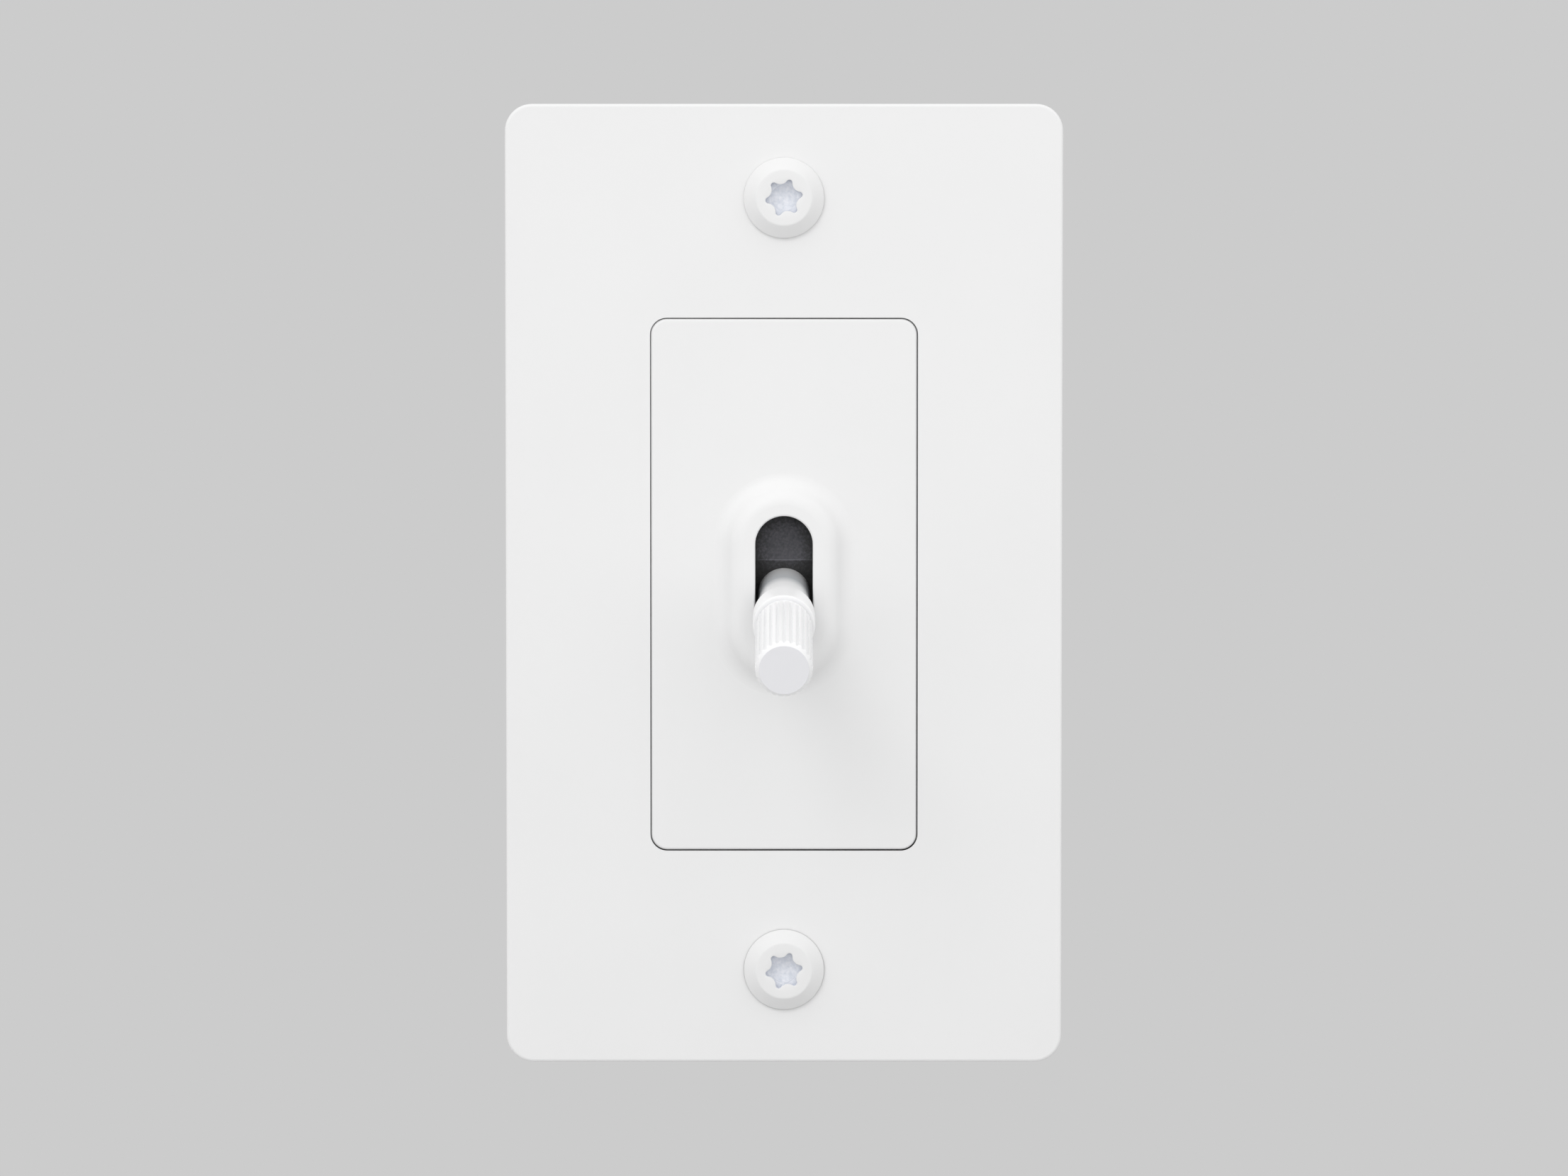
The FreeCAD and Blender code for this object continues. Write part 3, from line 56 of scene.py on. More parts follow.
class Graph:
    """A small helper for building the node tree of one material, or of the world."""

    def __init__(self, name, kind="materials"):
        self.owner = getattr(bpy.data, kind).new(name)
        self.owner.use_nodes = True
        self.tree = self.owner.node_tree
        self.tree.nodes.clear()

    def add(self, kind, inputs=None, **settings):
        """Adds a node, sets its properties and fills its inputs with values or sockets."""
        node = self.tree.nodes.new("ShaderNode" + kind)
        for key, value in settings.items():
            setattr(node, key, value)
        for key, value in (inputs or {}).items():
            self.feed(node.inputs[key], value)
        return node

    def feed(self, socket, value):
        if isinstance(value, bpy.types.NodeSocket):
            self.tree.links.new(value, socket)
        elif isinstance(value, bpy.types.Node):
            self.tree.links.new(value.outputs[0], socket)
        else:
            socket.default_value = value

    def maths(self, operation, first, second=0.0, clamp=False):
        inputs = {0: first, 1: second}
        return self.add("Math", inputs, operation=operation, use_clamp=clamp).outputs[0]

    def times(self, first, second):
        return self.maths("MULTIPLY", first, second)

    def remap(self, value, low, high, new_low=0.0, new_high=1.0):
        """Maps low..high onto new_low..new_high, clamped."""
        inputs = {"Value": value, "From Min": low, "From Max": high}
        inputs.update({"To Min": new_low, "To Max": new_high})
        return self.add("MapRange", inputs).outputs["Result"]

    def mix(self, factor, first, second):
        node = self.add("Mix", data_type="RGBA")
        self.feed(node.inputs["Factor"], factor)
        self.feed(node.inputs[6], first)
        self.feed(node.inputs[7], second)
        return node.outputs[2]

    def vectors(self, operation, first, second):
        """A vector sum, difference or product; a dot product is a plain number."""
        outputs = self.add("VectorMath", {0: first, 1: second}, operation=operation).outputs
        return outputs["Value" if operation == "DOT_PRODUCT" else "Vector"]

    def where(self):
        """The point on the piece, in millimetres."""
        place = self.add("TexCoord").outputs["Object"]
        return self.stretched(place, (1 / MM, 1 / MM, 1 / MM))

    def stretched(self, point, scale):
        return self.vectors("MULTIPLY", point, scale)

    def split(self, vector):
        """The outputs X, Y and Z of a vector."""
        return self.add("SeparateXYZ", {0: vector}).outputs

    def noise(self, point, per_mm, detail=2.0, roughness=0.5):
        inputs = {"Vector": point, "Scale": per_mm, "Detail": detail, "Roughness": roughness}
        return self.add("TexNoise", inputs).outputs["Fac"]

    def bump(self, height, distance_mm, strength=1.0, before=None):
        inputs = {"Height": height, "Distance": distance_mm * MM, "Strength": strength}
        if before is not None:
            inputs["Normal"] = before
        return self.add("Bump", inputs).outputs["Normal"]

    def edges(self, radius_mm):
        """Near 1 on sharp edges and 0 on open faces."""
        rounded = self.add("Bevel", {"Radius": radius_mm * MM}, samples=4).outputs[0]
        straight = self.add("NewGeometry").outputs["Normal"]
        return self.remap(self.vectors("DOT_PRODUCT", rounded, straight), 1.0, 0.85)

    def crevices(self, reach_mm, start=0.75, full=0.25):
        """0 where more than the share start of the sky shows, 1 where less than full does."""
        inputs = {"Distance": reach_mm * MM}
        shade = self.add("AmbientOcclusion", inputs, samples=6, only_local=False)
        return self.remap(shade.outputs["AO"], start, full)

    def output(self, shader, kind="OutputMaterial"):
        self.add(kind, {"Surface": shader})
        return self.owner

    def finish(self, **inputs):
        """Ends with one principled shader; an input's name has _ for its spaces."""
        spelled = {key.replace("_", " "): value for key, value in inputs.items()}
        return self.output(self.add("BsdfPrincipled", spelled))


def grey(value):
    return (value, value, value, 1.0)


def rgb(red, green, blue):
    return (red, green, blue, 1.0)


def scaled(colour, share):
    """A colour made darker or brighter, never over 1."""
    return tuple(min(1.0, channel * share) for channel in colour[:3]) + (1.0,)


def powder_coat(name, tint, roughness):
    """Satin powder coat: faint orange peel, worn edges, painted shade in gaps, deepest away from
    the light.
    """
    g = Graph(name)
    point = g.where()
    cloud = g.noise(point, 0.055, 3.0)
    grain = g.noise(point, 2.6, 2.0, 0.6)
    speck = g.remap(g.noise(point, 4.0, 1.0), 0.70, 0.80)
    base = g.mix(g.remap(cloud, 0.35, 0.65), tint, scaled(tint, 0.99))
    base = g.mix(g.times(speck, 0.03), base, grey(0.60))
    # Painted shade: the light comes from the upper left, so the gaps are painted darkest at the
    # lower right.
    parts = g.split(point)
    unlit = g.maths("SUBTRACT", g.times(parts["X"], 0.015), g.times(parts["Z"], 0.0067))
    unlit = g.maths("ADD", unlit, 0.60, clamp=True)
    base = g.mix(g.times(g.crevices(1.4, 0.62, 0.30), unlit), base, grey(0.06))
    rough = g.remap(grain, 0.3, 0.7, roughness - 0.05, roughness + 0.08)
    rough = g.maths("SUBTRACT", rough, g.times(g.edges(0.12), 0.10))
    peel = g.bump(g.noise(point, 1.3, 2.0), 0.006, 0.4)
    normal = g.bump(grain, 0.003, 0.5, peel)
    return g.finish(Base_Color=base, Roughness=rough, Normal=normal, Specular_IOR_Level=0.38)


def lever_coat(tint, pivot, forward):
    """Satin white on the lever, with painted reflection of the dark slot and painted shade on the
    shank, and a greyer flat end.

    Places along the lever are in millimetres from its pivot.
    """
    foot, ring, clear, shank_top, collar = 6.0, 9.9, 12.3, 13.0, 16.3
    ring_width = 0.3
    end_bevel, end_flat = 40.50, 40.58
    shank_side, shank_edge = 2.2, 3.25
    g = Graph("coated_lever")
    point = g.where()
    along = g.vectors("DOT_PRODUCT", g.vectors("SUBTRACT", point, pivot), forward)
    # Painted reflection of the dark slot on the shank: it steps down at the ring and fades out
    # before the collar.
    rising = g.remap(along, foot, ring)
    stepped = g.remap(along, ring, ring + ring_width, 1.0, 0.72)
    fading = g.remap(along, ring + ring_width, clear, 1.0, 0.0)
    painted_reflection = g.times(g.times(rising, stepped), fading)
    # Painted shade along the shank's sides, from the top of the shank to the collar.
    aside = g.maths("ABSOLUTE", g.split(point)["X"])
    beside = g.remap(aside, shank_side, shank_edge)
    painted_side_shade = g.times(beside, g.remap(along, shank_top, collar, 0.60, 0.0))
    cloud = g.noise(point, 0.30, 3.0)
    grain = g.noise(point, 1.6, 2.0, 0.5)
    base = g.mix(g.remap(cloud, 0.35, 0.65), tint, scaled(tint, 0.985))
    base = g.mix(g.times(painted_reflection, 0.44), base, rgb(0.18, 0.23, 0.28))
    base = g.mix(painted_side_shade, base, rgb(0.10, 0.11, 0.13))
    # Painted shade in the grooves and crevices of the lever.
    base = g.mix(g.times(g.crevices(0.45, 0.92, 0.60), 0.22), base, rgb(0.45, 0.46, 0.49))
    base = g.mix(g.remap(along, end_bevel, end_flat), base, rgb(0.865, 0.865, 0.89))
    rough = g.remap(grain, 0.3, 0.7, 0.28, 0.36)
    rough = g.maths("SUBTRACT", rough, g.times(g.edges(0.08), 0.06))
    normal = g.bump(grain, 0.0012, 0.4, g.bump(cloud, 0.02, 0.3))
    return g.finish(Base_Color=base, Roughness=rough, Normal=normal, Specular_IOR_Level=0.45)


def plate_screw_coat(tint, head_front, axis_height):
    """The same coat on the plate screws; in the socket a mottled bluish grey is painted as
    reflection and shade.

    Places are in millimetres.
    """
    socket_reach, socket_mouth, socket_tone_depth, socket_end = 2.6, 0.10, 0.30, 1.9
    g = Graph("coated_plate_screw")
    point = g.where()
    parts = g.split(point)
    height = g.maths("SUBTRACT", g.maths("ABSOLUTE", parts["Z"]), axis_height)
    radius = g.maths("ADD", g.times(parts["X"], parts["X"]), g.times(height, height))
    radius = g.maths("SQRT", radius)
    inside = g.maths("LESS_THAN", radius, socket_reach)
    below = g.remap(parts["Y"], head_front + socket_mouth, head_front + socket_tone_depth)
    above = g.maths("LESS_THAN", parts["Y"], head_front + socket_end)
    socket = g.times(g.times(inside, below), above)
    grain = g.noise(point, 2.6, 2.0, 0.6)
    mottle = g.noise(point, 1.7, 4.0, 0.65)
    # Painted reflection: a mottled bluish grey for the socket, made darker below by painted shade.
    painted_socket_tone = g.mix(g.remap(mottle, 0.35, 0.65), rgb(0.72, 0.75, 0.81), rgb(0.90, 0.91, 0.95))
    # Painted shade in the head's crevices and in the socket.
    shade = g.crevices(0.5, 0.72, 0.40)
    painted_socket_tone = g.mix(g.times(shade, 0.45), painted_socket_tone, rgb(0.42, 0.45, 0.52))
    base = g.mix(g.times(shade, 0.22), tint, grey(0.45))
    base = g.mix(socket, base, painted_socket_tone)
    rough = g.mix(socket, grey(0.40), grey(0.34))
    rough = g.maths("ADD", rough, g.remap(grain, 0.3, 0.7, -0.04, 0.05))
    rough = g.maths("SUBTRACT", rough, g.times(g.edges(0.10), 0.06))
    peel = g.bump(g.noise(point, 1.3, 2.0), 0.008, 0.5)
    normal = g.bump(mottle, 0.05, g.times(socket, 0.5), peel)
    return g.finish(Base_Color=base, Roughness=rough, Normal=normal, Specular_IOR_Level=0.42)


def eroded_black(pivot, forward):
    """Black moulding with a leathery grain; painted light on its upper facet, painted highlight on
    creases.

    Places are in millimetres.
    """
    crease_height = 4.3
    g = Graph("eroded_black_moulding")
    point = g.where()
    wander = g.add("TexNoise", {"Vector": point, "Scale": 2.0, "Detail": 2.0}).outputs["Color"]
    bent = g.vectors("ADD", point, g.stretched(wander, (0.5, 0.5, 0.5)))
    cells = {"Vector": bent, "Scale": 2.9, "Randomness": 1.0}
    pebble = g.add("TexVoronoi", cells, feature="SMOOTH_F1").outputs["Distance"]
    grain = g.noise(point, 4.0, 3.0, 0.6)
    height = g.maths("SUBTRACT", g.times(grain, 0.9), g.times(pebble, 0.6))
    lit = g.remap(height, -0.10, 0.45)
    # Painted light: facets that do not face down get the paler, lit copy of the black instead of
    # the dark one.
    painted_facet_light = g.remap(g.split(g.add("NewGeometry").outputs["Normal"])["Z"], -0.30, -0.12)
    dark = g.mix(lit, rgb(0.023, 0.023, 0.025), rgb(0.054, 0.053, 0.058))
    pale = g.mix(lit, rgb(0.054, 0.054, 0.062), rgb(0.112, 0.110, 0.126))
    base = g.mix(painted_facet_light, dark, pale)
    # Painted highlight: a pale line along the crease and on sharp edges.
    crosswise = forward.cross(Vector((1, 0, 0)))
    level = g.vectors("DOT_PRODUCT", g.vectors("SUBTRACT", point, pivot), crosswise)
    off_crease = g.maths("SUBTRACT", g.maths("ABSOLUTE", level), crease_height)
    off_crease = g.maths("ABSOLUTE", off_crease)
    base = g.mix(g.remap(off_crease, 0.03, 0.09, 0.8, 0.0), base, rgb(0.19, 0.19, 0.22))
    base = g.mix(g.times(g.edges(0.16), 0.6), base, rgb(0.19, 0.19, 0.21))
    shade = g.add("AmbientOcclusion", {"Distance": 3.0 * MM}, samples=8).outputs["AO"]
    shade = g.maths("ADD", shade, g.remap(height, -0.1, 0.45, -0.08, 0.10))
    base = g.mix(g.remap(shade, 0.80, 0.62), base, rgb(0.018, 0.018, 0.018))
    rough = g.remap(grain, 0.3, 0.7, 0.44, 0.62)
    normal = g.bump(height, 0.09, 0.8)
    return g.finish(Base_Color=base, Roughness=rough, Normal=normal, Specular_IOR_Level=0.5)


def moulded_black():
    """Phenolic casing: dark, half gloss, with faint flow streaks, mould grain and paler corners."""
    g = Graph("moulded_black_casing")
    point = g.where()
    flow = g.noise(g.stretched(point, (0.35, 1.4, 0.16)), 1.0, 4.0, 0.6)
    grain = g.noise(point, 5.0, 2.0)
    base = g.mix(g.remap(flow, 0.35, 0.7), rgb(0.018, 0.018, 0.020), rgb(0.036, 0.034, 0.034))
    base = g.mix(g.times(g.edges(0.25), 0.5), base, rgb(0.10, 0.10, 0.105))
    speck = g.remap(g.noise(point, 3.1, 1.0), 0.70, 0.80)
    base = g.mix(g.times(speck, 0.25), base, rgb(0.12, 0.11, 0.10))
    rough = g.remap(flow, 0.3, 0.7, 0.30, 0.46)
    normal = g.bump(grain, 0.012, 0.6, g.bump(flow, 0.05, 0.35))
    return g.finish(Base_Color=base, Roughness=rough, Normal=normal)


def plated(name, pale, dark, along, rough, streak_mm, tarnish, edge_mm=0.15):
    """Rolled or drawn metal: streaks along one axis, cloudy film, bright worn edges.

    rough is the roughness between and on the streaks, tarnish the share of film.
    """
    g = Graph(name)
    point = g.where()
    fine = [0.12 if axis == along else 7.0 for axis in range(3)]
    streak = g.noise(g.stretched(point, fine), 1.0, 3.0, 0.6)
    cloud = g.noise(point, 0.30, 4.0, 0.6)
    film = g.times(g.remap(cloud, 0.40, 0.72), tarnish)
    base = g.mix(film, pale, dark)
    base = g.mix(g.times(g.remap(streak, 0.35, 0.75), 0.30), base, scaled(pale, 0.62))
    base = g.mix(g.times(g.edges(edge_mm), 0.7), base, scaled(pale, 1.12))
    base = g.mix(g.times(g.crevices(0.6), 0.35), base, scaled(dark, 0.30))
    shine = g.maths("ADD", g.remap(streak, 0.3, 0.7, *rough), g.times(film, 0.14))
    normal = g.bump(g.noise(point, 3.0, 2.0), 0.01, 0.35, g.bump(streak, streak_mm, 0.5))
    return g.finish(Base_Color=base, Metallic=1.0, Roughness=shine, Normal=normal)


def fibre():
    """Vulcanised fibre sheet: red-brown, matt, with short matted hairs."""
    g = Graph("vulcanised_fibre")
    point = g.where()
    hairs = g.noise(g.stretched(point, (3.2, 1.0, 0.7)), 1.6, 5.0, 0.7)
    knots = g.noise(point, 2.4, 3.0)
    base = g.mix(g.remap(hairs, 0.3, 0.7), rgb(0.20, 0.055, 0.035), rgb(0.36, 0.12, 0.075))
    base = g.mix(g.times(g.edges(0.2), 0.5), base, rgb(0.48, 0.24, 0.17))
    rough = g.remap(knots, 0.3, 0.7, 0.62, 0.85)
    normal = g.bump(hairs, 0.05, 0.7, g.bump(knots, 0.03, 0.5))
    return g.finish(Base_Color=base, Roughness=rough, Normal=normal)


def nylon():
    """Natural nylon: milky, slightly see-through, with a fine moulded skin."""
    g = Graph("natural_nylon")
    point = g.where()
    cloud = g.noise(point, 0.8, 3.0)
    base = g.mix(cloud, rgb(0.72, 0.69, 0.60), rgb(0.84, 0.82, 0.75))
    normal = g.bump(g.noise(point, 4.0, 2.0), 0.01, 0.5)
    rough = g.remap(cloud, 0.3, 0.7, 0.32, 0.48)
    depth = {"Subsurface_Weight": 0.25, "Subsurface_Scale": 0.6 * MM}
    return g.finish(Base_Color=base, Roughness=rough, Normal=normal, **depth)


def rubber():
    """Black rubber: matt, dusty, with a coarse moulded skin."""
    g = Graph("black_rubber")
    point = g.where()
    dust = g.noise(point, 1.2, 4.0, 0.7)
    base = g.mix(g.remap(dust, 0.45, 0.75), grey(0.014), grey(0.045))
    rough = g.remap(dust, 0.3, 0.7, 0.68, 0.88)
    normal = g.bump(g.noise(point, 5.0, 3.0), 0.03, 0.7)
    return g.finish(Base_Color=base, Roughness=rough, Normal=normal)


def studio_floor(backdrop, half):
    """Pale matt floor that fades into the backdrop's grey towards its edge."""
    g = Graph("pale_floor")
    place = g.add("TexCoord").outputs["Object"]
    mottle = g.noise(place, 9.0, 4.0)
    base = g.mix(mottle, grey(backdrop * 0.99), grey(backdrop * 1.02))
    flat = g.stretched(place, (1.0, 1.0, 0.0))
    reach = g.add("VectorMath", {0: flat}, operation="LENGTH").outputs["Value"]
    fade = g.remap(reach, half * 0.55, half * 0.98)
    matt = g.add("BsdfDiffuse", {"Color": base, "Normal": g.bump(mottle, 0.2, 0.3)})
    plain = g.add("Emission", {"Color": grey(backdrop), "Strength": 1.0})
    return g.output(g.add("MixShader", {0: fade, 1: matt, 2: plain}))


# ---- mesh helpers ----------------------------------------------------------------------------


def to_object(name, mesh_builder, material, smooth_angle=35.0):
    """Turns a bmesh into a finished object with clean normals, smooth except over sharp edges."""
    bmesh.ops.remove_doubles(mesh_builder, verts=mesh_builder.verts, dist=SAME_PLACE)
    bmesh.ops.dissolve_degenerate(mesh_builder, edges=mesh_builder.edges, dist=0.4 * SAME_PLACE)
    bmesh.ops.recalc_face_normals(mesh_builder, faces=mesh_builder.faces)
    mesh = bpy.data.meshes.new(name)
    mesh_builder.to_mesh(mesh)
    mesh_builder.free()
    piece = bpy.data.objects.new(name, mesh)
    bpy.context.scene.collection.objects.link(piece)
    mesh.materials.append(material)
    smooth(mesh, smooth_angle)
    return piece


def smooth(mesh, angle):
    """Shades a mesh smooth and keeps edges sharper than the angle hard."""
    for face in mesh.polygons:
        face.use_smooth = True
    mesh.set_sharp_from_angle(angle=math.radians(angle))


def add_threaded_rod(bm, low, high, steps=40):
    """A thread along +Z from low to high: its grid follows the helix, its ends fade out."""
    # One turn's outline: root, up the flank, crest, down the flank to the next root.
    shares = (0.0, 0.16, 0.46, 0.60, 0.90)
    depths = (0.0, 0.0, 1.0, 1.0, 0.0)
    turns = math.ceil((high - low) / THREAD_PITCH) + 2
    fade_length = 0.5 * THREAD_PITCH
    columns = []
    for step in range(steps + 1):
        angle = 2 * math.pi * step / steps
        column = []
        for index in range(turns * len(shares) + 1):
            turn, spot = divmod(index, len(shares))
            z = low + THREAD_PITCH * (turn + shares[spot] + step / steps - 1.5)
            inside = min(max(z, low), high)
            fade = min(1.0, (inside - low) / fade_length, (high - inside) / fade_length)
            radius = THREAD_MINOR + (THREAD_MAJOR - THREAD_MINOR) * depths[spot] * fade
            place = (radius * math.cos(angle), radius * math.sin(angle), inside)
            column.append(bm.verts.new(place))
        columns.append(column)
    for before, after in zip(columns, columns[1:]):
        for index in range(len(before) - 1):
            corners = (before[index], after[index], after[index + 1], before[index + 1])
            spread = max((a.co - b.co).length for a in corners for b in corners)
            if spread > SAME_PLACE:
                bm.faces.new(corners)
    bmesh.ops.remove_doubles(bm, verts=bm.verts, dist=2 * SAME_PLACE)
    rims = [edge for edge in bm.edges if edge.is_boundary]
    bmesh.ops.holes_fill(bm, edges=rims, sides=0)


def add_lathe(bm, profile, steps=64):
    """A closed solid turned about Z from (radius, z) points that start and end on the axis."""
    rings = []
    for radius, z in profile:
        if radius == 0:
            rings.append([bm.verts.new((0, 0, z))] * steps)
            continue
        ring = []
        for step in range(steps):
            angle = 2 * math.pi * step / steps
            ring.append(bm.verts.new((radius * math.cos(angle), radius * math.sin(angle), z)))
        rings.append(ring)
    for lower, upper in zip(rings, rings[1:]):
        for step in range(steps):
            following = (step + 1) % steps
            corners = []
            for vertex in (lower[step], lower[following], upper[following], upper[step]):
                if vertex not in corners:
                    corners.append(vertex)
            if len(corners) > 2:
                bm.faces.new(corners)


def rounded(points, steps=5):
    """Replaces each corner (radius, z, reach) of a profile with a curve that starts reach away."""
    out = []
    for index, spot in enumerate(points):
        here = Vector(spot[:2])
        if len(spot) == 2:
            out.append(tuple(here))
            continue
        before = Vector(points[index - 1][:2]) - here
        after = Vector(points[index + 1][:2]) - here
        reach = min(spot[2], before.length * 0.45, after.length * 0.45)
        start = here + before.normalized() * reach
        end = here + after.normalized() * reach
        for step in range(steps + 1):
            share = step / steps
            curve = start * (1 - share) ** 2 + here * 2 * share * (1 - share) + end * share**2
            out.append((curve.x, curve.y))
    return out


def carve(piece, cutter):
    """Cuts one object out of another and throws the cutter away."""
    modifier = piece.modifiers.new("carve", "BOOLEAN")
    modifier.operation = "DIFFERENCE"
    modifier.solver = "EXACT"
    modifier.object = cutter
    bpy.context.view_layer.update()
    done = piece.evaluated_get(bpy.context.evaluated_depsgraph_get())
    mesh = bpy.data.meshes.new_from_object(done)
    old = piece.data
    piece.modifiers.clear()
    piece.data = mesh
    bpy.data.meshes.remove(old)
    bpy.data.objects.remove(cutter)


def slot_cutter(width, depth, length, top):
    """A bar with rounded lower edges that cuts a screwdriver slot down from top."""
    bm = bmesh.new()
    bmesh.ops.create_cube(bm, size=1.0)
    bmesh.ops.scale(bm, vec=(length, width, depth * 2), verts=bm.verts)
    bmesh.ops.translate(bm, vec=(0, 0, top), verts=bm.verts)
    low = []
    for edge in bm.edges:
        first, second = edge.verts
        if max(first.co.z, second.co.z) < top and abs(first.co.y - second.co.y) < SAME_PLACE:
            low.append(edge)
    bmesh.ops.bevel(bm, geom=low, offset=width * 0.12, segments=2, affect="EDGES", profile=0.5)
    mesh = bpy.data.meshes.new("cutter")
    bm.to_mesh(mesh)
    bm.free()
    cutter = bpy.data.objects.new("cutter", mesh)
    bpy.context.scene.collection.objects.link(cutter)
    return cutter


def add_shank(piece, material, length, thread_from):
    """Gives a screw head its threaded shank, from the seat down to -length."""
    neck = THREAD_MINOR * 1.02
    shank = bmesh.new()
    add_threaded_rod(shank, -length, -thread_from)
    add_lathe(shank, [(0, -thread_from), (neck, -thread_from), (neck, 0), (0, 0)])
    join([piece, to_object(piece.name + "_shank", shank, material, 40.0)])
    smooth(piece.data, 32.0)
    return piece


def slotted_screw(name, material, length, head, thread_from, slot, turn=0.0):
    """A slotted screw along Z: seat at 0, head above it, threaded shank down to -length.

    The head is (radius, height, height of its rim, width of its slope), the slot (width, depth).
    """
    radius, height, rim, slope = head
    foot_radius, foot_height = 0.94 * radius, 0.06 * height
    rim_curve, top_curve = 0.16 * height, 0.28 * height
    bm = bmesh.new()
    profile = [
        (0, 0),
        (foot_radius, 0),
        (radius, foot_height),
        (radius, rim, rim_curve),
        (radius - slope, height, top_curve),
        (0, height),
    ]
    add_lathe(bm, rounded(profile))
    piece = to_object(name, bm, material, 30.0)
    carve(piece, slot_cutter(*slot, radius * 3, height))
    piece.data.transform(Matrix.Rotation(math.radians(turn), 4, "Z"))
    return add_shank(piece, material, length, thread_from)


def star_radius(angle, tip, lobe, waist):
    """How far a six-lobe socket's wall is from its axis; the angle is from the middle of a lobe."""
    half_step = math.pi / 6
    turn = abs((angle + half_step) % (2 * half_step) - half_step)
    lobe_at = tip - lobe
    slack = waist - lobe
    bulge_at = (lobe_at**2 - slack**2) / (2 * (lobe_at * math.cos(half_step) - slack))
    bulge = bulge_at - waist
    share = lobe / (lobe + bulge)
    meet_x = lobe_at + (bulge_at * math.cos(half_step) - lobe_at) * share
    meet_y = bulge_at * math.sin(half_step) * share
    if turn < math.atan2(meet_y, meet_x):
        return lobe_at * math.cos(turn) + math.sqrt(lobe**2 - (lobe_at * math.sin(turn)) ** 2)
    rest = half_step - turn
    return bulge_at * math.cos(rest) - math.sqrt(bulge**2 - (bulge_at * math.sin(rest)) ** 2)


def socket_screw(name, material, length, radius, height, turn, steps=240):
    """A plate screw along Z: bevelled head, six-lobe socket, round core hole, threaded shank."""
    # The head's flat top, the height of its rim, and how soft its upper and lower edges are.
    flat, rim, edge, foot = 3.5 * MM, 0.5 * MM, 0.16 * MM, 0.1 * MM
    # The socket's widest and narrowest reach, a lobe's radius, and the round hole below.
    tip, lobe, waist, core = 2.34 * MM, 0.38 * MM, 1.70 * MM, 1.62 * MM
    lip = tip * 1.12
    soft = 0.05 * MM
    floor_z = height - 1.0 * MM
    hole_z = height - 1.4 * MM
    point_z = hole_z - 0.3 * MM
    hole = [
        (core * 0.96, hole_z - soft),
        (core, hole_z),
        (core, floor_z - soft),
        (core + 0.2 * soft, floor_z),
    ]
    # Offsets from the star's wall, which changes round the axis.
    star = [
        (-soft, floor_z),
        (0, floor_z + 2 * soft),
        (0, height - 1.5 * soft),
        (0.4 * soft, height - 0.4 * soft),
        (1.5 * soft, height),
    ]
    outer = rounded(
        [(lip, height), (flat, height, edge), (radius, rim, edge), (radius, 0, foot), (0, 0)]
    )
    bm = bmesh.new()
    bottom = bm.verts.new((0, 0, point_z))
    seat = bm.verts.new((0, 0, 0))
    columns = []
    for step in range(steps):
        angle = 2 * math.pi * step / steps
        wall = star_radius(angle - math.radians(turn), tip, lobe, waist)
        spots = hole + [(wall + offset, z) for offset, z in star] + outer[:-1]
        ring = [bm.verts.new((r * math.sin(angle), r * math.cos(angle), z)) for r, z in spots]
        columns.append([bottom, *ring, seat])
    for before, after in zip(columns, columns[1:] + columns[:1]):
        for index in range(len(before) - 1):
            corners = []
            for vertex in (before[index], before[index + 1], after[index + 1], after[index]):
                if vertex not in corners:
                    corners.append(vertex)
            bm.faces.new(corners)
    return add_shank(to_object(name, bm, material, 40.0), material, length, 0.3 * MM)


def join(pieces):
    """Joins objects into the first one."""
    bm = bmesh.new()
    for piece in pieces:
        bm.from_mesh(piece.data)
    bm.to_mesh(pieces[0].data)
    bm.free()
    for piece in pieces[1:]:
        bpy.data.objects.remove(piece)


def aim(piece, seat, outward):
    """Stands a screw on its seat so that its head points outward."""
    turn = outward.to_track_quat("Z", "Y").to_matrix().to_4x4()
    piece.data.transform(Matrix.Translation(seat) @ turn)


# ---- the object ------------------------------------------------------------------------------


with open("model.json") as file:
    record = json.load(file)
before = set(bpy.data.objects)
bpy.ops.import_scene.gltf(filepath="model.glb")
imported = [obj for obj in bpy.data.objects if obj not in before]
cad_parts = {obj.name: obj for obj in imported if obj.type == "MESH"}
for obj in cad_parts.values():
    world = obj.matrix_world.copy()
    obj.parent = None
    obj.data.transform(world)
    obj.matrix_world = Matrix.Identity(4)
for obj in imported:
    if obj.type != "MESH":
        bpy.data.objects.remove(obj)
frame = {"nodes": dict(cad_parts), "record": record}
cad_low, cad_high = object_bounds()
nodes = frame["nodes"]

# Colours; a FILM is the dull film that clouds a metal.
PLATE_WHITE = grey(0.885)
SCREW_WHITE = grey(0.86)
LEVER_WHITE = rgb(0.975, 0.975, 0.98)
ZINC = rgb(0.78, 0.80, 0.83)
ZINC_FILM = rgb(0.62, 0.60, 0.50)
SCREW_FILM = rgb(0.55, 0.54, 0.47)
BOX_STEEL = grey(0.74)
BOX_STEEL_FILM = rgb(0.50, 0.49, 0.46)
PIN_STEEL = rgb(0.70, 0.70, 0.71)
PIN_STEEL_FILM = rgb(0.45, 0.44, 0.43)
SPRING_STEEL = rgb(0.60, 0.60, 0.62)
SPRING_STEEL_FILM = rgb(0.36, 0.35, 0.35)
BRASS = rgb(0.83, 0.61, 0.26)
BRASS_FILM = rgb(0.50, 0.30, 0.12)
BRASS_SCREW = rgb(0.86, 0.66, 0.31)
BRASS_SCREW_FILM = rgb(0.55, 0.34, 0.14)
GREEN = rgb(0.10, 0.42, 0.16)
GREEN_FILM = rgb(0.05, 0.22, 0.09)
SILVER = rgb(0.93, 0.92, 0.90)
SILVER_FILM = rgb(0.66, 0.62, 0.56)

# The axis that a metal was rolled or drawn along.
ALONG_X, ALONG_Y, ALONG_Z = 0, 1, 2

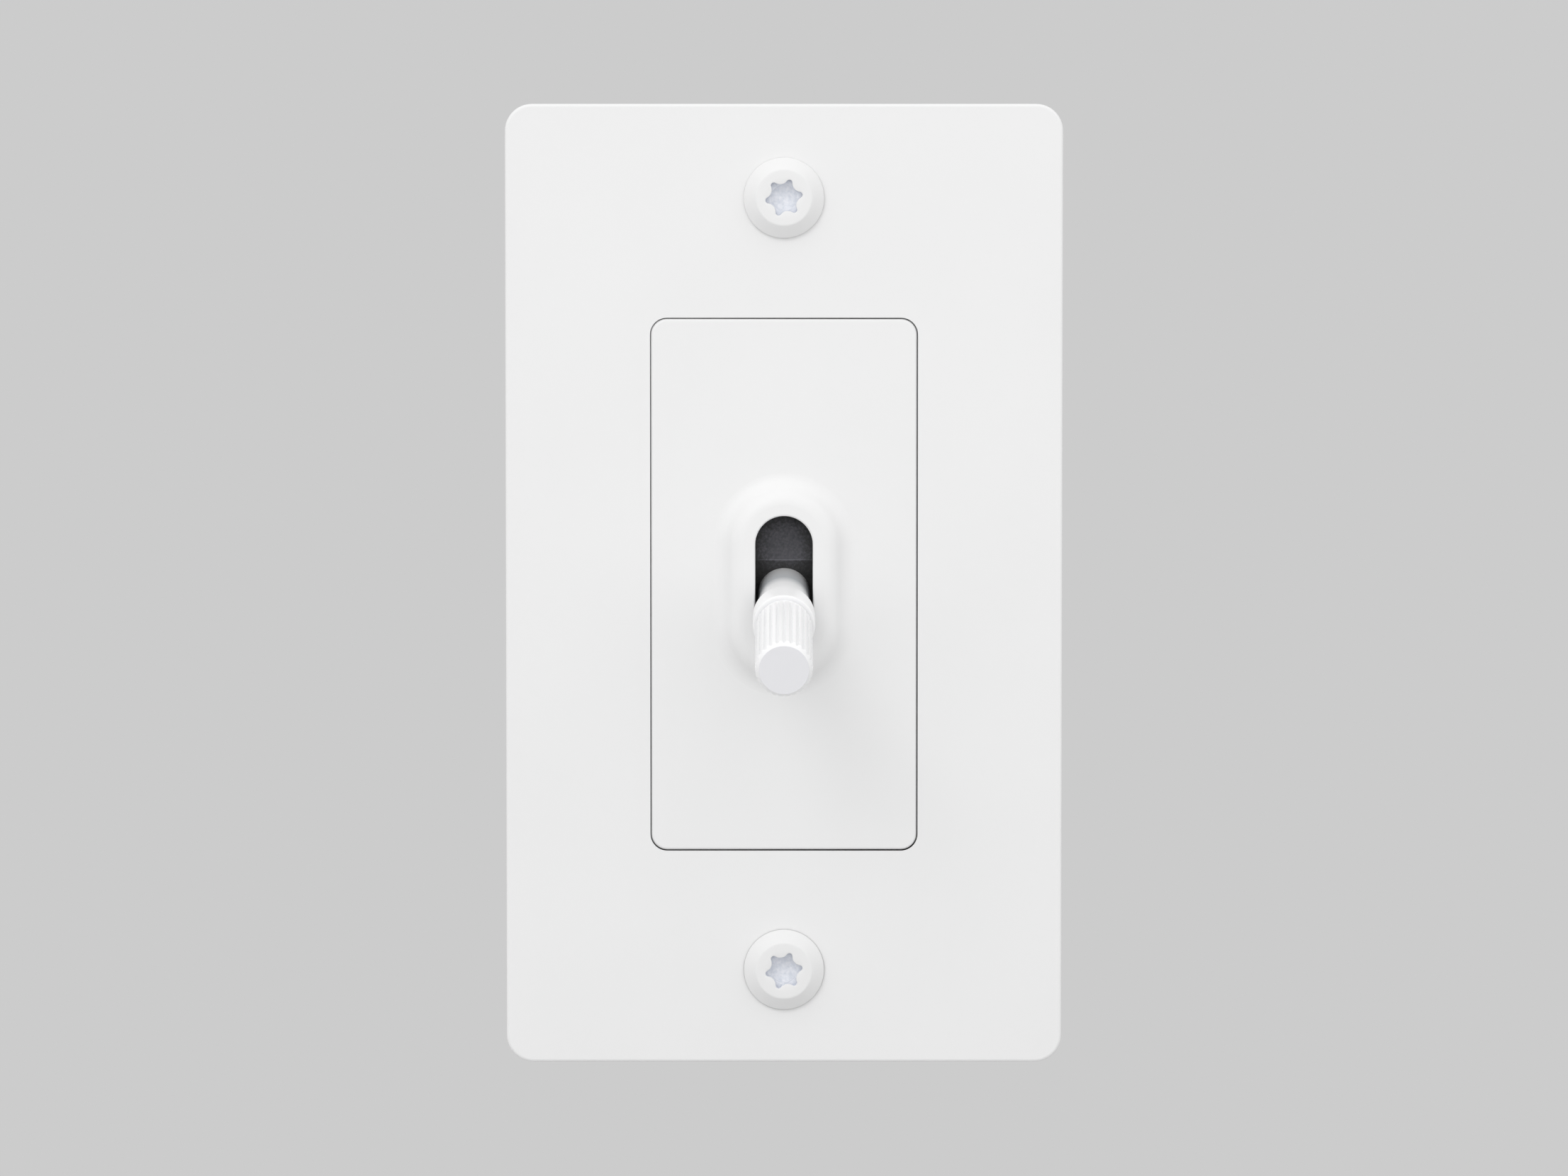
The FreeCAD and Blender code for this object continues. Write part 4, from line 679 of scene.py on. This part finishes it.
# At rest the lever hangs below the middle of its swing by half the swing.
joints = frame["record"]["behaviour"]["joints"]
swing = next(joint for joint in joints if joint["name"] == "toggle_swing")
droop = math.radians(swing["range_deg"][1] / 2)
pivot = Vector(swing["pos_m"]) / MM
forward = Vector((0, -math.cos(droop), -math.sin(droop)))
screw_low, screw_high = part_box("coin_screws")
screw_radius = (screw_high.x - screw_low.x) / 2
screw_axis = (screw_high.z - screw_radius) / MM
looks = {
    "plate": powder_coat("coated_plate", PLATE_WHITE, roughness=0.46),
    "insert": powder_coat("coated_insert", PLATE_WHITE, roughness=0.42),
    "lever": lever_coat(LEVER_WHITE, pivot, forward),
    "plate_screws": plate_screw_coat(SCREW_WHITE, screw_low.y / MM, screw_axis),
    "rocker": eroded_black(pivot, forward),
    "casing": moulded_black(),
    "strap": plated(
        "zinc_strap", ZINC, ZINC_FILM, ALONG_Z,
        rough=(0.28, 0.46), streak_mm=0.03, tarnish=0.55,
    ),
    "zinc_screw": plated(
        "zinc_screw", ZINC, SCREW_FILM, ALONG_Y,
        rough=(0.20, 0.36), streak_mm=0.01, tarnish=0.45,
    ),
    "box_screw": plated(
        "bright_box_screw", BOX_STEEL, BOX_STEEL_FILM, ALONG_Y,
        rough=(0.22, 0.34), streak_mm=0.004, tarnish=0.35, edge_mm=0.04,
    ),
    "steel": plated(
        "bright_steel", PIN_STEEL, PIN_STEEL_FILM, ALONG_X,
        rough=(0.16, 0.30), streak_mm=0.008, tarnish=0.25,
    ),
    "spring": plated(
        "spring_steel", SPRING_STEEL, SPRING_STEEL_FILM, ALONG_Y,
        rough=(0.22, 0.34), streak_mm=0.008, tarnish=0.3,
    ),
    "brass": plated(
        "brass_strip", BRASS, BRASS_FILM, ALONG_Z,
        rough=(0.22, 0.42), streak_mm=0.02, tarnish=0.55,
    ),
    "brass_screw": plated(
        "brass_screw", BRASS_SCREW, BRASS_SCREW_FILM, ALONG_X,
        rough=(0.20, 0.36), streak_mm=0.01, tarnish=0.45,
    ),
    "clamp": plated(
        "zinc_clamp", ZINC, SCREW_FILM, ALONG_Y,
        rough=(0.28, 0.44), streak_mm=0.03, tarnish=0.5,
    ),
    "green": plated(
        "green_screw", GREEN, GREEN_FILM, ALONG_X,
        rough=(0.24, 0.40), streak_mm=0.01, tarnish=0.4,
    ),
    "silver": plated(
        "silver_contact", SILVER, SILVER_FILM, ALONG_X,
        rough=(0.18, 0.34), streak_mm=0.01, tarnish=0.3,
    ),
    "fibre": fibre(),
    "nylon": nylon(),
    "rubber": rubber(),
}
finish_of = {
    "wall_plate": "plate",
    "face_insert": "insert",
    "coin_screws": "plate_screws",
    "lever_spindle": "lever",
    "knurled_grip": "lever",
    "rocker": "rocker",
    "switch_housing": "casing",
    "rear_cover": "casing",
    "mounting_strap": "strap",
    "housing_screws": "zinc_screw",
    "cover_screws": "zinc_screw",
    "insert_screws": "zinc_screw",
    "screw_retainers": "fibre",
    "travel_bumpers": "rubber",
    "plunger": "nylon",
    "plunger_spring": "spring",
    "pivot_pin": "steel",
    "contact_pivot_pin": "steel",
    "contact_arm": "brass",
    "line_terminal": "brass",
    "load_terminal": "brass",
    "moving_contact": "silver",
    "fixed_contact": "silver",
    "line_clamp_plate": "clamp",
    "load_clamp_plate": "clamp",
    "ground_clamp_plate": "clamp",
    "box_screws": "box_screw",
    "line_terminal_screw": "brass_screw",
    "load_terminal_screw": "brass_screw",
    "ground_screw": "green",
}
for node_name, node in nodes.items():
    node.data.materials.clear()
    node.data.materials.append(looks[finish_of[node_name]])
    smooth(node.data, 28.0)

# Plate screws: one node of two screws, each with its own piece.
plate_low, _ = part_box("wall_plate")
for label, z in (("upper", screw_high.z - screw_radius), ("lower", screw_low.z + screw_radius)):
    screw = socket_screw(
        f"plate_screw_{label}",
        looks["plate_screws"],
        length=screw_high.y - plate_low.y,
        radius=screw_radius,
        height=plate_low.y - screw_low.y,
        turn=20.0,
    )
    aim(screw, Vector((0, plate_low.y, z)), Vector((0, -1, 0)))
    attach(screw, "root")
    if label == "upper":
        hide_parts("coin_screws")

# Box screws, threaded: one node of two screws, each with its own piece.
box_low, box_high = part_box("box_screws")
strap_low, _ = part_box("mounting_strap")
head_radius = (box_high.x - box_low.x) / 2
head_height = strap_low.y - box_low.y
head_rim = 0.6 * MM
head_slope = 0.9 * MM
for label, z in (("upper", box_high.z - head_radius), ("lower", box_low.z + head_radius)):
    screw = slotted_screw(
        f"box_screw_{label}",
        looks["box_screw"],
        length=box_high.y - strap_low.y,
        head=(head_radius, head_height, head_rim, head_slope),
        thread_from=2.6 * MM,
        slot=(1.0 * MM, 0.9 * MM),
    )
    aim(screw, Vector((0, strap_low.y, z)), Vector((0, -1, 0)))
    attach(screw, "root")
    if label == "upper":
        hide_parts("box_screws")

# Terminal screws, threaded, one for each clamp; side is the way that the head faces along X.
head_rim = 2.0 * MM
head_slope = 0.5 * MM
for name, side, finish, slot_name in (
    ("line", 1, "brass_screw", "brass_screws"),
    ("load", 1, "brass_screw", "brass_screws"),
    ("ground", -1, "green", "green_screw"),
):
    node_name = "ground_screw" if name == "ground" else f"{name}_terminal_screw"
    low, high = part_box(node_name)
    clamp_low, clamp_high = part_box(f"{name}_clamp_plate")
    seat_x = clamp_high.x if side > 0 else clamp_low.x
    tip_x = low.x if side > 0 else high.x
    top_x = high.x if side > 0 else low.x
    screw = slotted_screw(
        f"{name}_screw_threaded",
        looks[finish],
        length=abs(seat_x - tip_x),
        head=((high.z - low.z) / 2, abs(top_x - seat_x), head_rim, head_slope),
        thread_from=0.5 * MM,
        slot=(1.1 * MM, 1.2 * MM),
        turn=90.0,
    )
    seat = Vector((seat_x, (low.y + high.y) / 2, (low.z + high.z) / 2))
    aim(screw, seat, Vector((side, 0, 0)))
    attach(screw, f"{name}_screw")
    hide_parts(node_name)


# ---- studio ----------------------------------------------------------------------------------


BACKDROP = 0.604
CAMERA_DISTANCE = 0.74
CAMERA_TILT = math.radians(2.9)
CAMERA_AIM = Vector((0, plate_low.y, -0.4 * MM))
KEY_PLACE = Vector((-0.95, -1.9, 1.6))
KEY_SIZE = (1.2, 1.0)
KEY_POWER = 7.5
KEY_AIM = Vector((0, plate_low.y, 0))
SKY_LEVEL = 0.73
SKY_LEAN = (0.0, -0.36, 0.23)
FLOOR_RADIUS = 0.34
FLOOR_BACK = 0.12
FLOOR_DROP = 60 * MM


def look_at(thing, place, at):
    """Puts a camera or a light in its place and turns it to look at a point."""
    bpy.context.scene.collection.objects.link(thing)
    thing.location = place
    thing.rotation_mode = "QUATERNION"
    thing.rotation_quaternion = (at - thing.location).to_track_quat("-Z", "Y")


def photo_camera():
    """The camera far in front of the plate and slightly above its middle."""
    data = bpy.data.cameras.new("photo_camera")
    data.sensor_fit = "HORIZONTAL"
    data.sensor_width = 36.0
    data.lens = 135.5
    data.clip_start = 0.05
    data.clip_end = 20.0
    camera = bpy.data.objects.new("photo_camera", data)
    away = Vector((0, -math.cos(CAMERA_TILT), math.sin(CAMERA_TILT)))
    look_at(camera, CAMERA_AIM + CAMERA_DISTANCE * away, CAMERA_AIM)
    bpy.context.scene.camera = camera


def key_light():
    """A large area light, far to the upper left."""
    data = bpy.data.lights.new("key", "AREA")
    data.shape = "RECTANGLE"
    data.size, data.size_y = KEY_SIZE
    data.energy = KEY_POWER
    look_at(bpy.data.objects.new("key", data), KEY_PLACE, KEY_AIM)


def sky():
    """Even studio light, a little stronger from above and in front; the camera sees plain grey."""
    g = Graph("studio", "worlds")
    lean = g.vectors("DOT_PRODUCT", g.add("TexCoord").outputs["Generated"], SKY_LEAN)
    level = g.maths("ADD", lean, SKY_LEVEL)
    lit = g.add("Background", {"Color": rgb(1, 1, 1), "Strength": level})
    plain = g.add("Background", {"Color": grey(BACKDROP), "Strength": 1.0})
    seen = g.add("LightPath").outputs["Is Camera Ray"]
    both = g.add("MixShader", {0: seen, 1: lit, 2: plain})
    bpy.context.scene.world = g.output(both, "OutputWorld")


def floor():
    """A round grey floor well below the switch, which fades into the backdrop."""
    bm = bmesh.new()
    bmesh.ops.create_circle(bm, cap_ends=True, segments=96, radius=FLOOR_RADIUS)
    disc = to_object("studio_floor", bm, studio_floor(BACKDROP, FLOOR_RADIUS))
    disc.location = (0, FLOOR_BACK - FLOOR_RADIUS, cad_low.z - FLOOR_DROP)


view = bpy.context.scene.view_settings
view.view_transform = "Standard"
view.look = "None"
view.exposure = 0.0
view.gamma = 1.0
photo_camera()
key_light()
sky()
floor()
